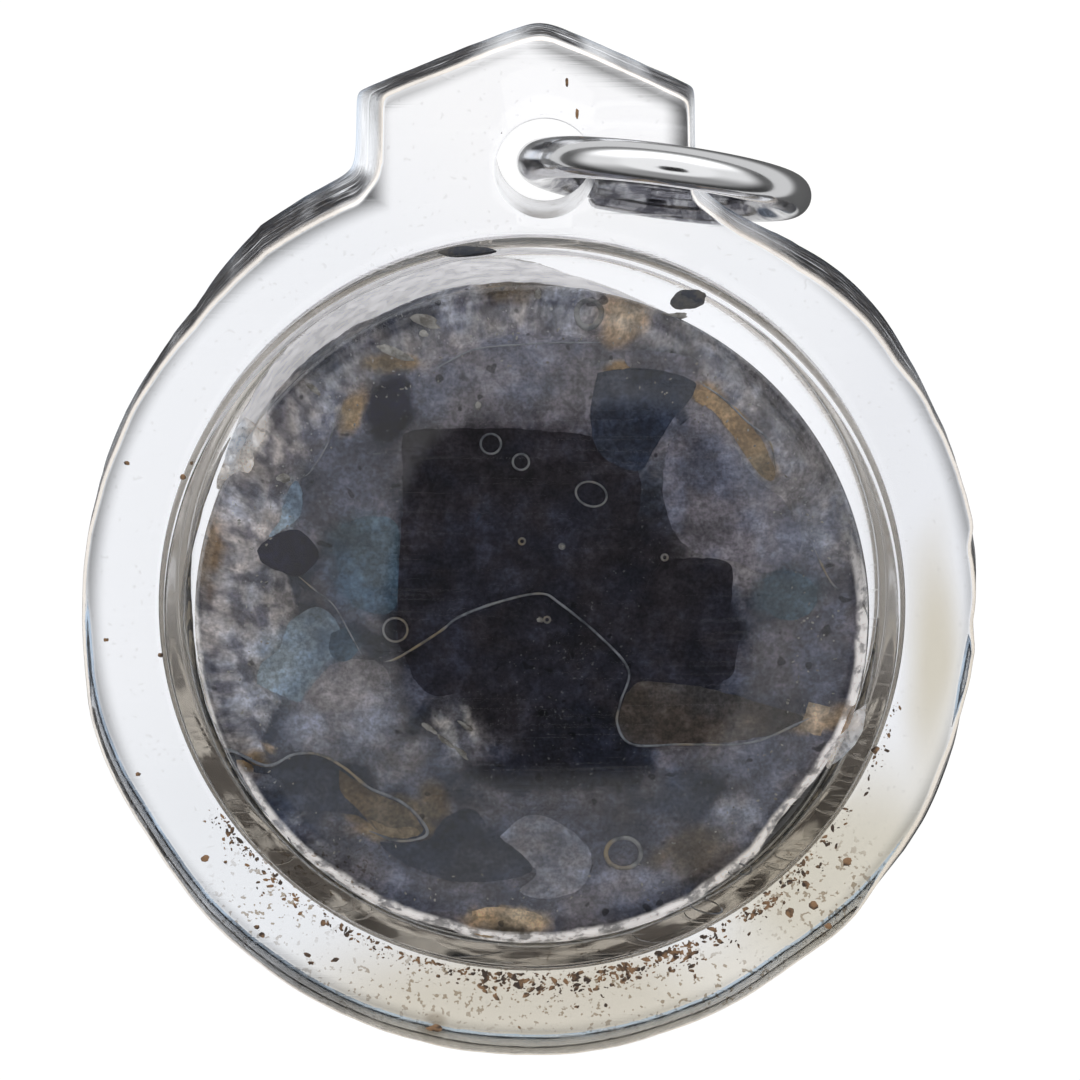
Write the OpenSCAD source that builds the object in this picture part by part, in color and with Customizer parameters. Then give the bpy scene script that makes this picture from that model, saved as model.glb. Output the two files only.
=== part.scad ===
// Wax amulet sealed in a clear two-part case, lying on its back.
// +Z points out of the amulet's face, +Y towards the hanging tab, +X to the face's right.
// The origin is where the pocket's axis meets the surface that the back tray rests on.
// All sizes are in millimetres and all angles in degrees.

/* [Flange] */
// Radius of the round outline before its flats are filed
outline_r = 18.25; // [17.6:0.05:19]
// How far the round outline sits below the pocket's axis
outline_drop = 0.35; // [0:0.05:0.6]
// Thickness of each half of the flange
half_t = 2.2; // [1.8:0.1:2.6]
// Bonded seam left between the two halves
seam_gap = 0.03; // [0.02:0.01:0.05]

/* [Hanging tab] */
// Left side of the tab at the back face
tab_left = -7.07; // [-7.6:0.01:-6.6]
// Right side of the tab
tab_right = 6.53; // [6:0.01:7]
// Height of the left eave over the pocket's axis
eave_left = 20.45; // [20:0.05:21]
// Height of the right eave over the pocket's axis
eave_right = 20.62; // [20:0.01:21]
// Height of the roof's ridge over the pocket's axis
ridge_y = 23.5; // [23:0.05:24]
// How far the ridge stands right of the pocket's axis
ridge_x = 0.35; // [0:0.05:0.7]
// Radius that the ridge is filed to
ridge_round = 1.6; // [0.8:0.1:2]
// Radius of the two eave corners
eave_round = 0.45; // [0.3:0.05:0.8]
// Radius of the concave shoulders where the tab meets the round
shoulder_round = 1.0; // [0.6:0.1:1.4]
// Radius of the flare that the filing left at the left shoulder
flare_r = 18.6; // [18.4:0.05:18.8]
// How much the left side of the tab leans in from back to front
side_lean = 1.15; // [0.6:0.05:1.3]
// Diameter of the hole for the jump ring
hole_d = 3.9; // [3.9:0.05:4.1]
// How far the hole is right of the pocket's axis
hole_x = 0.52; // [0.4:0.02:0.6]
// Height of the hole over the pocket's axis
hole_y = 18.0; // [17.95:0.05:18.05]

/* [Pocket] */
// Outer radius of the blister and of the tray where they leave the flange
pocket_r = 14.7; // [14.5:0.05:14.9]
// Thickness of the pressed walls of the blister and the tray
wall_t = 0.9; // [0.8:0.05:1]
// Height of the blister's crown over the flange
dome_h = 3.2; // [2.8:0.1:3.6]
// How much the blister's face crowns from its edge to its middle
dome_rise = 0.8; // [0.6:0.1:0.9]
// Depth of the tray under the flange
tray_depth = 3.6; // [3.5:0.05:3.8]
// How much the pressed walls lean in over their height
wall_lean = 1.2; // [1.1:0.05:1.25]
// Radius of the pressed outer corners
press_round = 1.8; // [1.7:0.05:1.85]
// Radius of the fillet between the pressed walls and the flange
base_round = 0.4; // [0.3:0.05:0.5]

/* [Wax] */
// Space left between the wax and the pocket
wax_clear = 0.2; // [0.15:0.01:0.25]
// Radius of the wax disc where it is fullest
wax_r = 13; // [12.8:0.05:13.05]
// Radius of the wax disc's top and bottom edges
wax_round = 2; // [1.9:0.1:2.4]

/* [Seeped oil] */
// Width of the oil that fills the gap round the wax
oil_w = 0.5; // [0.4:0.05:0.55]
// Direction in which the oil's arc starts
oil_start = 172; // [165:1:180]
// Angle that the oil's arc goes through, round the bottom
oil_span = 186; // [170:1:200]

/* [Jump ring] */
// Radius of the middle of the ring's wire
ring_r = 5.1; // [5:0.05:5.15]
// Thickness of the ring's wire
wire_d = 1.65; // [1.5:0.05:1.7]
// Direction in which the ring has fallen, to the right and a little down
ring_turn = -8; // [-10:1:-6]
// How far the ring's face leans towards the tab's ridge
ring_lean = 15; // [13:0.5:15]
// Height of the ring's centre over the resting surface
ring_z = 5.85; // [5.85:0.01:5.9]

/* [Hidden] */
$fn = 96;
back_z = tray_depth;
seam_z = back_z + half_t;
front_z = seam_z + half_t;
crown_z = front_z + dome_h;
arc_steps = 6;
crown_steps = 5;
cut_reach = 60;
deep = 1;

// Flats filed along the round outline: direction, distance from the pocket's axis
FLAT_ANGLE = 0;
FLAT_DISTANCE = 1;
flats = [
    [26, 17.98],
    [50, 17.95],
    [62, 17.60],
    [142, 17.97],
    [186, 18.12],
    [210, 18.22],
    [306, 18.12],
    [352, 17.83],
];

// Outline of the wax: direction, share of its full radius
wax_outline = [
    [0, 0.985],
    [25, 0.962],
    [50, 0.958],
    [75, 0.972],
    [105, 0.988],
    [140, 0.985],
    [175, 0.995],
    [215, 1],
    [255, 0.995],
    [290, 1],
    [330, 0.996],
    [360, 0.985],
];
wax_points = 48;

// The ring's place in the hole, along the way it has fallen and across it
ring_in_hole = [-0.3, -0.1];

// Points on an arc round a centre, from one direction to another
function arc(centre, r, from, to) = [
    for (i = [0:arc_steps])
        let (a = from + (to - from) * i / arc_steps)
            [centre.x + r * cos(a), centre.y + r * sin(a)]
];

// Points that round the corner b between its neighbours a and c
function unit(v) = v / norm(v);
function rounded(a, b, c, r) =
    let (
        to_a = unit(a - b),
        to_c = unit(c - b),
        half = acos(to_a * to_c) / 2,
        centre = b + unit(to_a + to_c) * r / sin(half),
        p = b + to_a * r / tan(half) - centre,
        q = b + to_c * r / tan(half) - centre,
        from = atan2(p.y, p.x),
        turn = atan2(p.x * q.y - p.y * q.x, p * q)
    )
    arc(centre, r, from, from + turn);

// The house-shaped tab, from inside the round outline up to the ridge
module tab_outline() {
    foot_left = [tab_left, 0];
    foot_right = [tab_right, 0];
    corner_left = [tab_left, eave_left];
    corner_right = [tab_right, eave_right];
    ridge = [ridge_x, ridge_y];
    polygon(concat(
        [foot_left],
        rounded(foot_left, corner_left, ridge, eave_round),
        rounded(corner_left, ridge, corner_right, ridge_round),
        rounded(ridge, corner_right, foot_right, eave_round),
        [foot_right]
    ));
}

// The concave corner between one side of the tab and a round of radius r about [0, drop]
module shoulder(side_x, way, r, drop) {
    centre_x = side_x + way * shoulder_round;
    centre_y = sqrt(pow(r + shoulder_round, 2) - pow(centre_x, 2));
    touch = [centre_x, centre_y] * r / (r + shoulder_round);
    translate([0, drop])
        difference() {
            polygon([
                [side_x - way * deep, centre_y],
                [centre_x, centre_y],
                touch,
                [side_x - way * deep, touch.y - deep],
            ]);
            translate([centre_x, centre_y])
                circle(r = shoulder_round);
        }
}

// The flare beside the left shoulder, where the file left the round fuller
module flare() {
    flare_from = 112;
    flare_to = 126;
    fade_to = 139;
    fade_r = 17.9;
    inner = 15;
    intersection() {
        circle(r = flare_r);
        polygon([
            [inner * cos(flare_from), inner * sin(flare_from)],
            cut_reach * [cos(flare_from), sin(flare_from)],
            cut_reach * [cos(flare_to), sin(flare_to)],
            flare_r * [cos(flare_to), sin(flare_to)],
            fade_r * [cos(fade_to), sin(fade_to)],
            inner * [cos(fade_to), sin(fade_to)],
        ]);
    }
}

// The whole hand-filed outline of the flange
module case_outline() {
    difference() {
        translate([0, -outline_drop])
            circle(r = outline_r, $fn = 180);
        for (flat = flats)
            rotate(flat[FLAT_ANGLE])
                translate([flat[FLAT_DISTANCE], -cut_reach / 2])
                    square([cut_reach, cut_reach]);
    }
    tab_outline();
    flare();
    shoulder(tab_left, -1, flare_r, 0);
    shoulder(tab_right, 1, outline_r, -outline_drop);
}

// One half of the flange between two heights, with the lean of the tab's left side
module flange_half(z_from, z_to) {
    lean_angle = atan(side_lean / (front_z - back_z));
    lean_foot = 16.6;
    difference() {
        translate([0, 0, z_from])
            linear_extrude(height = z_to - z_from)
                case_outline();
        translate([tab_left, lean_foot, back_z])
            rotate([0, lean_angle, 0])
                translate([-cut_reach / 4, 0, -deep])
                    cube([cut_reach / 4, cut_reach / 4, cut_reach / 4]);
        translate([hole_x, hole_y, z_from - deep])
            cylinder(d = hole_d, h = z_to - z_from + 2 * deep);
    }
}

// Half section of a pressed form standing on z = 0, offset inwards by a wall:
// a leaning wall, a round corner and a crown. A rise of 0 gives the tray's flat floor.
module pressed_section(inset, total, rise) {
    foot_r = pocket_r - inset;
    round_r = max(press_round - inset, 0.3);
    centre_x = foot_r - wall_lean - round_r;
    slope = atan(2 * rise / centre_x);
    crown_foot = [centre_x + round_r * sin(slope), total - inset - rise];
    corner = [centre_x, crown_foot.y - round_r * cos(slope)];
    polygon(concat(
        [[0, -deep], [foot_r, -deep], [foot_r, 0]],
        arc(corner, round_r, 8, 90 - slope),
        crown(crown_foot, rise)
    ));
}

// Points of a crown that rises from its foot to the axis
function crown(foot, rise) = [
    for (i = [1:crown_steps])
        let (share = 1 - i / crown_steps)
            [foot.x * share, foot.y + rise * (1 - share * share)]
];

// The small concave fillet at the foot of a pressed wall, outside only
module foot_fillet_section() {
    difference() {
        translate([pocket_r - wall_lean / 2, -deep])
            square([wall_lean / 2 + base_round, deep + base_round]);
        translate([pocket_r + base_round, base_round])
            circle(r = base_round);
    }
}

// Outer skin of a pressed form with its fillet, revolved
module pressed_skin(total, rise) {
    rotate_extrude() {
        pressed_section(0, total, rise);
        foot_fillet_section();
    }
}

// Inside of a pressed form, revolved, reaching past the flange it opens through
module pressed_hollow(total, rise) {
    rotate_extrude()
        pressed_section(wall_t, total, rise);
}

// The straight part of the pocket through one half of the flange
module flange_bore(z_from) {
    translate([0, 0, z_from - deep])
        cylinder(r = pocket_r - wall_t, h = half_t + 2 * deep);
}

module case_back() {
    color([0.86, 0.88, 0.9, 0.4])
        difference() {
            union() {
                flange_half(back_z, seam_z - seam_gap / 2);
                translate([0, 0, back_z])
                    mirror([0, 0, 1])
                        pressed_skin(tray_depth, 0);
            }
            flange_bore(back_z + deep);
            translate([0, 0, back_z])
                mirror([0, 0, 1])
                    pressed_hollow(tray_depth, 0);
        }
}

module case_front() {
    color([0.92, 0.94, 0.96, 0.4])
        difference() {
            union() {
                flange_half(seam_z + seam_gap / 2, front_z);
                translate([0, 0, front_z])
                    pressed_skin(dome_h, dome_rise);
            }
            flange_bore(seam_z - deep);
            translate([0, 0, front_z])
                pressed_hollow(dome_h, dome_rise);
        }
}

// Share of the full radius that the wax has in one direction, eased between table rows
function wax_share(a) =
    let (
        i = max([for (k = [0:len(wax_outline) - 2]) if (wax_outline[k][0] <= a) k]),
        here = wax_outline[i],
        next = wax_outline[i + 1],
        t = (a - here[0]) / (next[0] - here[0]),
        ease = (1 - cos(180 * t)) / 2
    )
    here[1] + (next[1] - here[1]) * ease;

// Half section of the wax cake, following the pocket at a small distance
module wax_section() {
    floor_z = wall_t + wax_clear;
    top_z = crown_z - wall_t - wax_clear;
    rise = dome_rise;
    slope = atan(2 * rise / (wax_r - wax_round));
    low = [wax_r - wax_round, floor_z + wax_round];
    crown_foot = [wax_r - wax_round * (1 - sin(slope)), top_z - rise];
    high = [wax_r - wax_round, crown_foot.y - wax_round * cos(slope)];
    polygon(concat(
        [[0, floor_z]],
        arc(low, wax_round, -90, 0),
        arc(high, wax_round, 0, 90 - slope),
        crown(crown_foot, rise)
    ));
}

module wax_disc() {
    color([0.2, 0.21, 0.24])
        intersection() {
            rotate_extrude()
                wax_section();
            linear_extrude(height = crown_z)
                polygon([
                    for (k = [0:wax_points - 1])
                        let (a = 360 * k / wax_points)
                            wax_r * wax_share(a) * [cos(a), sin(a)]
                ]);
        }
}

module seep_oil() {
    oil_from = pocket_r - wall_t - oil_w - 0.06;
    oil_low = back_z + 0.2;
    oil_high = front_z - 0.3;
    color([0.33, 0.27, 0.2])
        rotate([0, 0, oil_start])
            rotate_extrude(angle = oil_span)
                translate([oil_from, oil_low])
                    square([oil_w, oil_high - oil_low]);
}

module jump_ring() {
    color([0.78, 0.79, 0.81])
        translate([hole_x, hole_y, ring_z])
            rotate([0, 0, ring_turn])
                translate([ring_r + ring_in_hole.x, ring_in_hole.y, 0])
                    rotate([90 - ring_lean, 0, 0])
                        rotate_extrude()
                            translate([ring_r, 0])
                                circle(d = wire_d, $fn = 48);
}

case_back();
case_front();
wax_disc();
seep_oil();
jump_ring();
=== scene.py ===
"""Looks of a wax amulet in a clear case, lying on its back on a pale lit table."""

import bisect
import functools
import logging
import math
import random
from collections.abc import Callable
from dataclasses import dataclass, field
from enum import Enum

import bmesh
import bpy
from mathutils import Matrix, Vector, noise


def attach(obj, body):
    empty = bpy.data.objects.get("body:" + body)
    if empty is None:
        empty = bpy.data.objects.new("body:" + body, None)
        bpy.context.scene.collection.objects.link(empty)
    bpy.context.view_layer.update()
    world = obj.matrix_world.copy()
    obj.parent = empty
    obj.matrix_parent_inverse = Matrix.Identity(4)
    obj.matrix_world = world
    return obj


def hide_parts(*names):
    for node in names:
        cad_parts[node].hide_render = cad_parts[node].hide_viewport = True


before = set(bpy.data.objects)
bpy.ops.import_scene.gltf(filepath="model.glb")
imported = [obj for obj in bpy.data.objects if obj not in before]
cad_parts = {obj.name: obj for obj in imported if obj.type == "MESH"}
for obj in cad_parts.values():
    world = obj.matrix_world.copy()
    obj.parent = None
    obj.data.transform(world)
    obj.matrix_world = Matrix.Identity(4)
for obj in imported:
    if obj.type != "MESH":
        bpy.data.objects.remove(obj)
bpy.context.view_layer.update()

MM = 0.001
BODY = "root"
log = logging.getLogger("amulet")

Colour = tuple[float, float, float]
Ring = Callable[[float], tuple[float, float]]
Socket = bpy.types.NodeSocket
Form = bmesh.types.BMesh
WHITE: Colour = (1.0, 1.0, 1.0)
UNLIT: Colour = (0.0, 0.0, 0.0)
SHARP_DEG = 40.0
SEED = 7
FACE, BOND, EDGE, BORE = range(4)


class Half(Enum):
    """The two halves that the case is bonded from."""

    BACK = "case_back"
    FRONT = "case_front"


class Slot(Enum):
    """The record's material slots."""

    BACK = "case_plastic_back"
    FRONT = "case_plastic_front"
    WAX = "dark_wax"
    OIL = "brown_oil"
    STEEL = "bright_steel"


# Shader sums


class Signal:
    """A shader socket that carries a number, with arithmetic that adds Math nodes."""

    def __init__(self, sheet: "Sheet", socket: Socket) -> None:
        """Wraps one output socket of a sheet of nodes."""
        self.sheet = sheet
        self.socket = socket

    def _sum(self, operation: str, first: object, second: object = None) -> "Signal":
        """Adds one Math node.

        Args:
            operation: the Math node's operation.
            first: its first value or signal.
            second: its second value or signal, if it takes one.

        Returns:
            The node's result.
        """
        values = {0: first} if second is None else {0: first, 1: second}
        node = self.sheet.node("ShaderNodeMath", {"operation": operation}, values)
        return Signal(self.sheet, node.outputs[0])

    def __add__(self, other: object) -> "Signal":
        """self + other."""
        return self._sum("ADD", self, other)

    def __sub__(self, other: object) -> "Signal":
        """self - other."""
        return self._sum("SUBTRACT", self, other)

    def __rsub__(self, other: object) -> "Signal":
        """other - self."""
        return self._sum("SUBTRACT", other, self)

    def __mul__(self, other: object) -> "Signal":
        """self * other."""
        return self._sum("MULTIPLY", self, other)

    def __truediv__(self, other: object) -> "Signal":
        """self / other."""
        return self._sum("DIVIDE", self, other)

    def at_least(self, other: object) -> "Signal":
        """The larger of self and other."""
        return self._sum("MAXIMUM", self, other)

    def distance(self) -> "Signal":
        """The size of self without its sign."""
        return self._sum("ABSOLUTE", self)

    def step(self, low: float, high: float, start: float = 0.0, end: float = 1.0) -> "Signal":
        """Eases from start to end as self goes from low to high.

        Args:
            low: where the change begins.
            high: where it ends.
            start: the result below low.
            end: the result above high.

        Returns:
            The eased signal.
        """
        settings = {"interpolation_type": "SMOOTHSTEP"}
        values = {0: self, 1: low, 2: high, 3: start, 4: end}
        node = self.sheet.node("ShaderNodeMapRange", settings, values)
        return Signal(self.sheet, node.outputs[0])


class Sheet:
    """The nodes of one material or world, and the one way to add to them."""

    def __init__(self, tree: bpy.types.NodeTree) -> None:
        """Empties the tree."""
        self.tree = tree
        tree.nodes.clear()

    def node(self, kind: str, settings: dict | None = None, values: dict | None = None) -> bpy.types.Node:
        """Adds a node of any type.

        Args:
            kind: the node's type.
            settings: its settings, which are set before the values.
            values: its sockets by name or place, each a number, a colour, a socket or a Signal.

        Returns:
            The node.
        """
        node = self.tree.nodes.new(kind)
        for name, value in (settings or {}).items():
            setattr(node, name, value)
        for name, value in (values or {}).items():
            socket = node.inputs[name]
            if isinstance(value, Signal):
                self.tree.links.new(value.socket, socket)
            elif isinstance(value, Socket):
                self.tree.links.new(value, socket)
            elif isinstance(value, tuple) and len(value) == 3 and socket.type == "RGBA":
                socket.default_value = (*value, 1.0)
            else:
                socket.default_value = value
        return node

    def signal(self, node: bpy.types.Node, output: str | int = 0) -> Signal:
        """One output of a node as a Signal."""
        return Signal(self, node.outputs[output])

    def principled(self, values: dict) -> Socket:
        """A Principled shader."""
        return self.node("ShaderNodeBsdfPrincipled", None, values).outputs[0]

    def attribute(self, name: str, output: str) -> Socket:
        """One output of an attribute of the mesh."""
        return self.node("ShaderNodeAttribute", {"attribute_name": name}).outputs[output]

    def along(self, where: object, axis: str) -> Signal:
        """Coordinates along the axis X, Y or Z."""
        return self.signal(self.node("ShaderNodeSeparateXYZ", None, {0: where}), axis)

    def reach(self, where: object) -> Signal:
        """The distance of coordinates from their origin."""
        return self.signal(self.node("ShaderNodeVectorMath", {"operation": "LENGTH"}, {0: where}), "Value")

    def camera_ray(self) -> Signal:
        """1 for rays from the camera and 0 for others."""
        return self.signal(self.node("ShaderNodeLightPath"), "Is Camera Ray")

    def places(self) -> Socket:
        """Object coordinates in millimetres."""
        coordinates = self.node("ShaderNodeTexCoord").outputs["Object"]
        settings = {"operation": "SCALE"}
        return self.node("ShaderNodeVectorMath", settings, {0: coordinates, "Scale": 1 / MM}).outputs[0]

    def noise(self, where: object, scale: float, detail: float = 4.0, rough: float = 0.55) -> Signal:
        """Noise from 0 to 1.

        Args:
            where: the coordinates that it reads.
            scale: how many waves a millimetre holds.
            detail: how many finer layers it has.
            rough: how strong the finer layers are.

        Returns:
            The noise.
        """
        values = {"Vector": where, "Scale": scale, "Detail": detail, "Roughness": rough}
        return self.signal(self.node("ShaderNodeTexNoise", {"noise_dimensions": "3D"}, values))

    def stretched(self, where: object, turn: float, size: tuple[float, float, float]) -> Socket:
        """Coordinates turned about Z and then scaled.

        Args:
            where: the coordinates.
            turn: the angle in degrees.
            size: the scale along each axis.

        Returns:
            The new coordinates.
        """
        values = {"Vector": where, "Rotation": (0.0, 0.0, math.radians(turn)), "Scale": size}
        return self.node("ShaderNodeMapping", {"vector_type": "POINT"}, values).outputs[0]

    def warped(self, where: object, scale: float, reach: float, detail: float = 4.0) -> Socket:
        """Coordinates pushed about by noise.

        Args:
            where: the coordinates.
            scale: how many waves of the push a millimetre holds.
            reach: how far the push goes, in millimetres.
            detail: how many finer layers the push has.

        Returns:
            The new coordinates.
        """
        values = {"Vector": where, "Scale": scale, "Detail": detail, "Roughness": 0.6}
        push = self.node("ShaderNodeTexNoise", {"noise_dimensions": "3D"}, values).outputs["Color"]
        middle = self.node("ShaderNodeVectorMath", {"operation": "SUBTRACT"}, {0: push, 1: (0.5, 0.5, 0.5)})
        settings = {"operation": "MULTIPLY_ADD"}
        values = {0: middle.outputs[0], 1: (reach * 2, reach * 2, reach * 2), 2: where}
        return self.node("ShaderNodeVectorMath", settings, values).outputs[0]

    def blend(self, share: object, low: object, high: object, way: str = "MIX") -> Socket:
        """Mixes two colours.

        Args:
            share: how much of the second colour shows.
            low: the first colour.
            high: the second colour.
            way: the Mix node's blend type.

        Returns:
            The mixed colour.
        """
        settings = {"data_type": "RGBA", "blend_type": way}
        return self.node("ShaderNodeMix", settings, {0: share, 6: low, 7: high}).outputs[2]

    def spot(
        self, where: object, place: Vector, size: tuple[float, float], turn: float, soft: float
    ) -> Signal:
        """A soft oval that is 1 inside and 0 outside.

        Args:
            where: the coordinates.
            place: its middle in millimetres.
            size: its half width and half height in millimetres.
            turn: its turn in degrees.
            soft: the share of its size over which it fades.

        Returns:
            The oval's mask.
        """
        depth = 40.0
        values = {
            "Vector": where,
            "Location": (place.x, place.y, place.z),
            "Rotation": (0.0, 0.0, math.radians(turn)),
            "Scale": (size[0], size[1], depth),
        }
        inside = self.node("ShaderNodeMapping", {"vector_type": "TEXTURE"}, values).outputs[0]
        return self.reach(inside).step(1 + soft, 1 - soft)

    def bump(self, height: Signal, depth: float) -> Socket:
        """Normals of a surface raised by a signal.

        Args:
            height: the signal, from 0 to 1.
            depth: what a height of 1 stands for, in millimetres.

        Returns:
            The normals.
        """
        return self.node("ShaderNodeBump", None, {"Height": height, "Distance": depth * MM}).outputs[0]


class Finish:
    """A finish that is made as one material."""

    name: str

    def paint(self, sheet: Sheet) -> Socket:
        """Adds the finish's nodes and returns its shader. Each finish has its own."""
        raise NotImplementedError

    def material(self) -> bpy.types.Material:
        """The finish as a material."""
        made = bpy.data.materials.new(self.name)
        made.use_nodes = True
        made.cycles.emission_sampling = "NONE"
        sheet = Sheet(made.node_tree)
        sheet.node("ShaderNodeOutputMaterial", None, {"Surface": self.paint(sheet)})
        return made


# Places and shapes


def eased(value: float, low: float, high: float) -> float:
    """Eases from 0 to 1 as value goes from low to high."""
    share = min(max((value - low) / (high - low), 0.0), 1.0)
    return share * share * (3 - 2 * share)


def soft_min(a: float, b: float, radius: float) -> float:
    """The smaller of two distances, with their corner rounded."""
    return (a + b - math.hypot(a - b, radius)) / 2


def soft_max(a: float, b: float, radius: float) -> float:
    """The larger of two distances, with their corner rounded."""
    return (a + b + math.hypot(a - b, radius)) / 2


def past_of(degrees: float, middle: float) -> float:
    """How far a direction lies past another, in degrees from -180 to 180."""
    return (degrees - middle + 180.0) % 360.0 - 180.0


def polar(angle: float, reach: float, height: float) -> Vector:
    """A point from its direction in radians, its distance from the axis and its height."""
    return Vector((reach * math.cos(angle), reach * math.sin(angle), height))


@dataclass(frozen=True)
class Eye:
    """The camera, and where its picture meets the object. Lengths are in millimetres."""

    tilt: float = 12.0
    distance: float = 260.0
    picture: float = 43.2
    pixels: int = 1080
    axis_px: float = 532.0
    axis_py: float = 613.0
    plane: float = 8.0
    sensor: float = 36.0
    near: float = 10.0
    far: float = 5000.0

    @property
    def step(self) -> float:
        """The width of a pixel at the flange's face."""
        return self.picture / self.pixels

    @property
    def back(self) -> Vector:
        """The direction from the object to the camera."""
        return Vector((0.0, math.sin(math.radians(self.tilt)), math.cos(math.radians(self.tilt))))

    @property
    def up(self) -> Vector:
        """The picture's upward direction."""
        return Vector((0.0, math.cos(math.radians(self.tilt)), -math.sin(math.radians(self.tilt))))

    @property
    def place(self) -> Vector:
        """Where the camera stands."""
        across = (self.pixels / 2 - self.axis_px) * self.step
        along = (self.axis_py - self.pixels / 2) * self.step / math.cos(math.radians(self.tilt))
        return Vector((across, along, self.plane)) + self.back * self.distance

    def seen(self, px: float, py: float, height: float) -> Vector:
        """The point at a height that is seen at a pixel of the photograph.

        Args:
            px: the pixel's column.
            py: the pixel's row.
            height: the height over the table.

        Returns:
            The point in millimetres.
        """
        half = self.pixels / 2
        ray = Vector((px - half, 0, 0)) * self.step
        ray += self.up * ((half - py) * self.step) - self.back * self.distance
        return self.place + ray * ((height - self.place.z) / ray.z)

    def onto(self, px: float, py: float, height: Callable[[float], float]) -> Vector:
        """The point that is seen at a pixel on a surface that is round the pocket's axis.

        Args:
            px: the pixel's column.
            py: the pixel's row.
            height: the surface's height at a reach.

        Returns:
            The point in millimetres.
        """
        spot = self.seen(px, py, self.plane)
        for _ in range(4):
            spot = self.seen(px, py, height(spot.xy.length))
        return spot

    def build(self) -> None:
        """Makes the camera."""
        data = bpy.data.cameras.new("camera")
        data.sensor_width = self.sensor
        data.lens = self.sensor * self.distance / self.picture
        data.clip_start, data.clip_end = self.near * MM, self.far * MM
        camera = placed("camera", data)
        right = Vector((1.0, 0.0, 0.0))
        turn = Matrix((right, self.up, self.back)).transposed().to_4x4()
        camera.matrix_world = Matrix.Translation(self.place * MM) @ turn
        bpy.context.scene.camera = camera


EYE = Eye()


def meshed(mesh: Form, name: str) -> bpy.types.Mesh:
    """Makes a bmesh a mesh, and frees it."""
    data = bpy.data.meshes.new(name)
    mesh.to_mesh(data)
    mesh.free()
    return data


def placed(name: str, data: bpy.types.ID) -> bpy.types.Object:
    """Makes an object of its data, in the scene."""
    made = bpy.data.objects.new(name, data)
    bpy.context.collection.objects.link(made)
    return made


def spun(mesh: Form, steps: int) -> None:
    """Spins a bmesh fully round the Z axis and turns its faces outwards."""
    bmesh.ops.spin(
        mesh, geom=mesh.verts[:] + mesh.edges[:], cent=(0, 0, 0), axis=(0, 0, 1), dvec=(0, 0, 0),
        angle=math.tau, steps=steps, use_merge=True, use_duplicate=False,
    )
    bmesh.ops.remove_doubles(mesh, verts=mesh.verts, dist=1e-5)
    bmesh.ops.recalc_face_normals(mesh, faces=mesh.faces)


class Skin:
    """A closed skin that is grown ring by ring round the pocket's axis. Each vertex keeps its direction."""

    def __init__(self, segments: int, warp: Callable[[float], float] | None = None) -> None:
        """Starts with a small closed disc at the axis.

        Args:
            segments: how many vertices a ring has.
            warp: moves an even direction in radians to the one that is used.
        """
        self.mesh = bmesh.new()
        made = bmesh.ops.create_circle(
            self.mesh, cap_ends=True, cap_tris=True, segments=segments, radius=0.05
        )
        self.ring = [v for v in made["verts"] if v.co.length > 1e-6]
        self.pole = next(v for v in made["verts"] if v.co.length <= 1e-6)
        self.edges = [e for e in self.mesh.edges if self.pole not in e.verts]
        for vertex in self.ring:
            even = math.atan2(vertex.co.y, vertex.co.x) % math.tau
            vertex.co = polar(warp(even) if warp else even, 0.05, 0.0)

    def start(self, height: float) -> None:
        """Puts the first disc at a height."""
        for vertex in [*self.ring, self.pole]:
            vertex.co.z = height

    def grow(self, place: Ring, slot: int = 0) -> None:
        """Adds one ring.

        Args:
            place: the reach and height of the new ring in each direction.
            slot: the material slot of the new faces.
        """
        before = set(self.mesh.faces)
        made = bmesh.ops.extrude_edge_only(self.mesh, edges=self.edges)["geom"]
        self.ring = [g for g in made if isinstance(g, bmesh.types.BMVert)]
        self.edges = [g for g in made if isinstance(g, bmesh.types.BMEdge) and len(g.link_faces) == 1]
        for vertex in self.ring:
            angle = math.atan2(vertex.co.y, vertex.co.x)
            vertex.co = polar(angle, *place(angle))
        if slot:
            for face in set(self.mesh.faces) - before:
                face.material_index = slot

    def finish(self, height: float) -> Form:
        """Closes the skin in a pole."""
        bmesh.ops.pointmerge(self.mesh, verts=self.ring, merge_co=(0.0, 0.0, height))
        return self.mesh


def piece(
    mesh: Form,
    name: str,
    finishes: list[bpy.types.Material],
    replaces: str | None = None,
) -> bpy.types.Object:
    """Makes a bmesh in millimetres an object of the amulet, with its faces turned outwards.

    Args:
        mesh: the shape, which is freed.
        name: the piece's name.
        finishes: its materials.
        replaces: the CAD node that it stands for, if any.

    Returns:
        The object.
    """
    bmesh.ops.recalc_face_normals(mesh, faces=mesh.faces)
    bmesh.ops.scale(mesh, verts=mesh.verts, vec=(MM, MM, MM))
    for face in mesh.faces:
        face.smooth = True
    sharp = math.radians(SHARP_DEG)
    for edge in mesh.edges:
        edge.smooth = len(edge.link_faces) != 2 or edge.calc_face_angle(0.0) < sharp
    data = meshed(mesh, name)
    for finish in finishes:
        data.materials.append(finish)
    made = placed(name, data)
    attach(made, BODY)
    if replaces:
        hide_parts(replaces)
    log.info("%s: %d faces", name, len(data.polygons))
    return made


# The case


@dataclass(frozen=True)
class Hollow:
    """A shallow place that was filed in the round outline, in degrees and millimetres."""

    angle: float
    depth: float
    width: float

    def depth_at(self, degrees: float) -> float:
        """How deep it is in one direction."""
        return self.depth * math.exp(-((past_of(degrees, self.angle) / self.width) ** 2))


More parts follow.
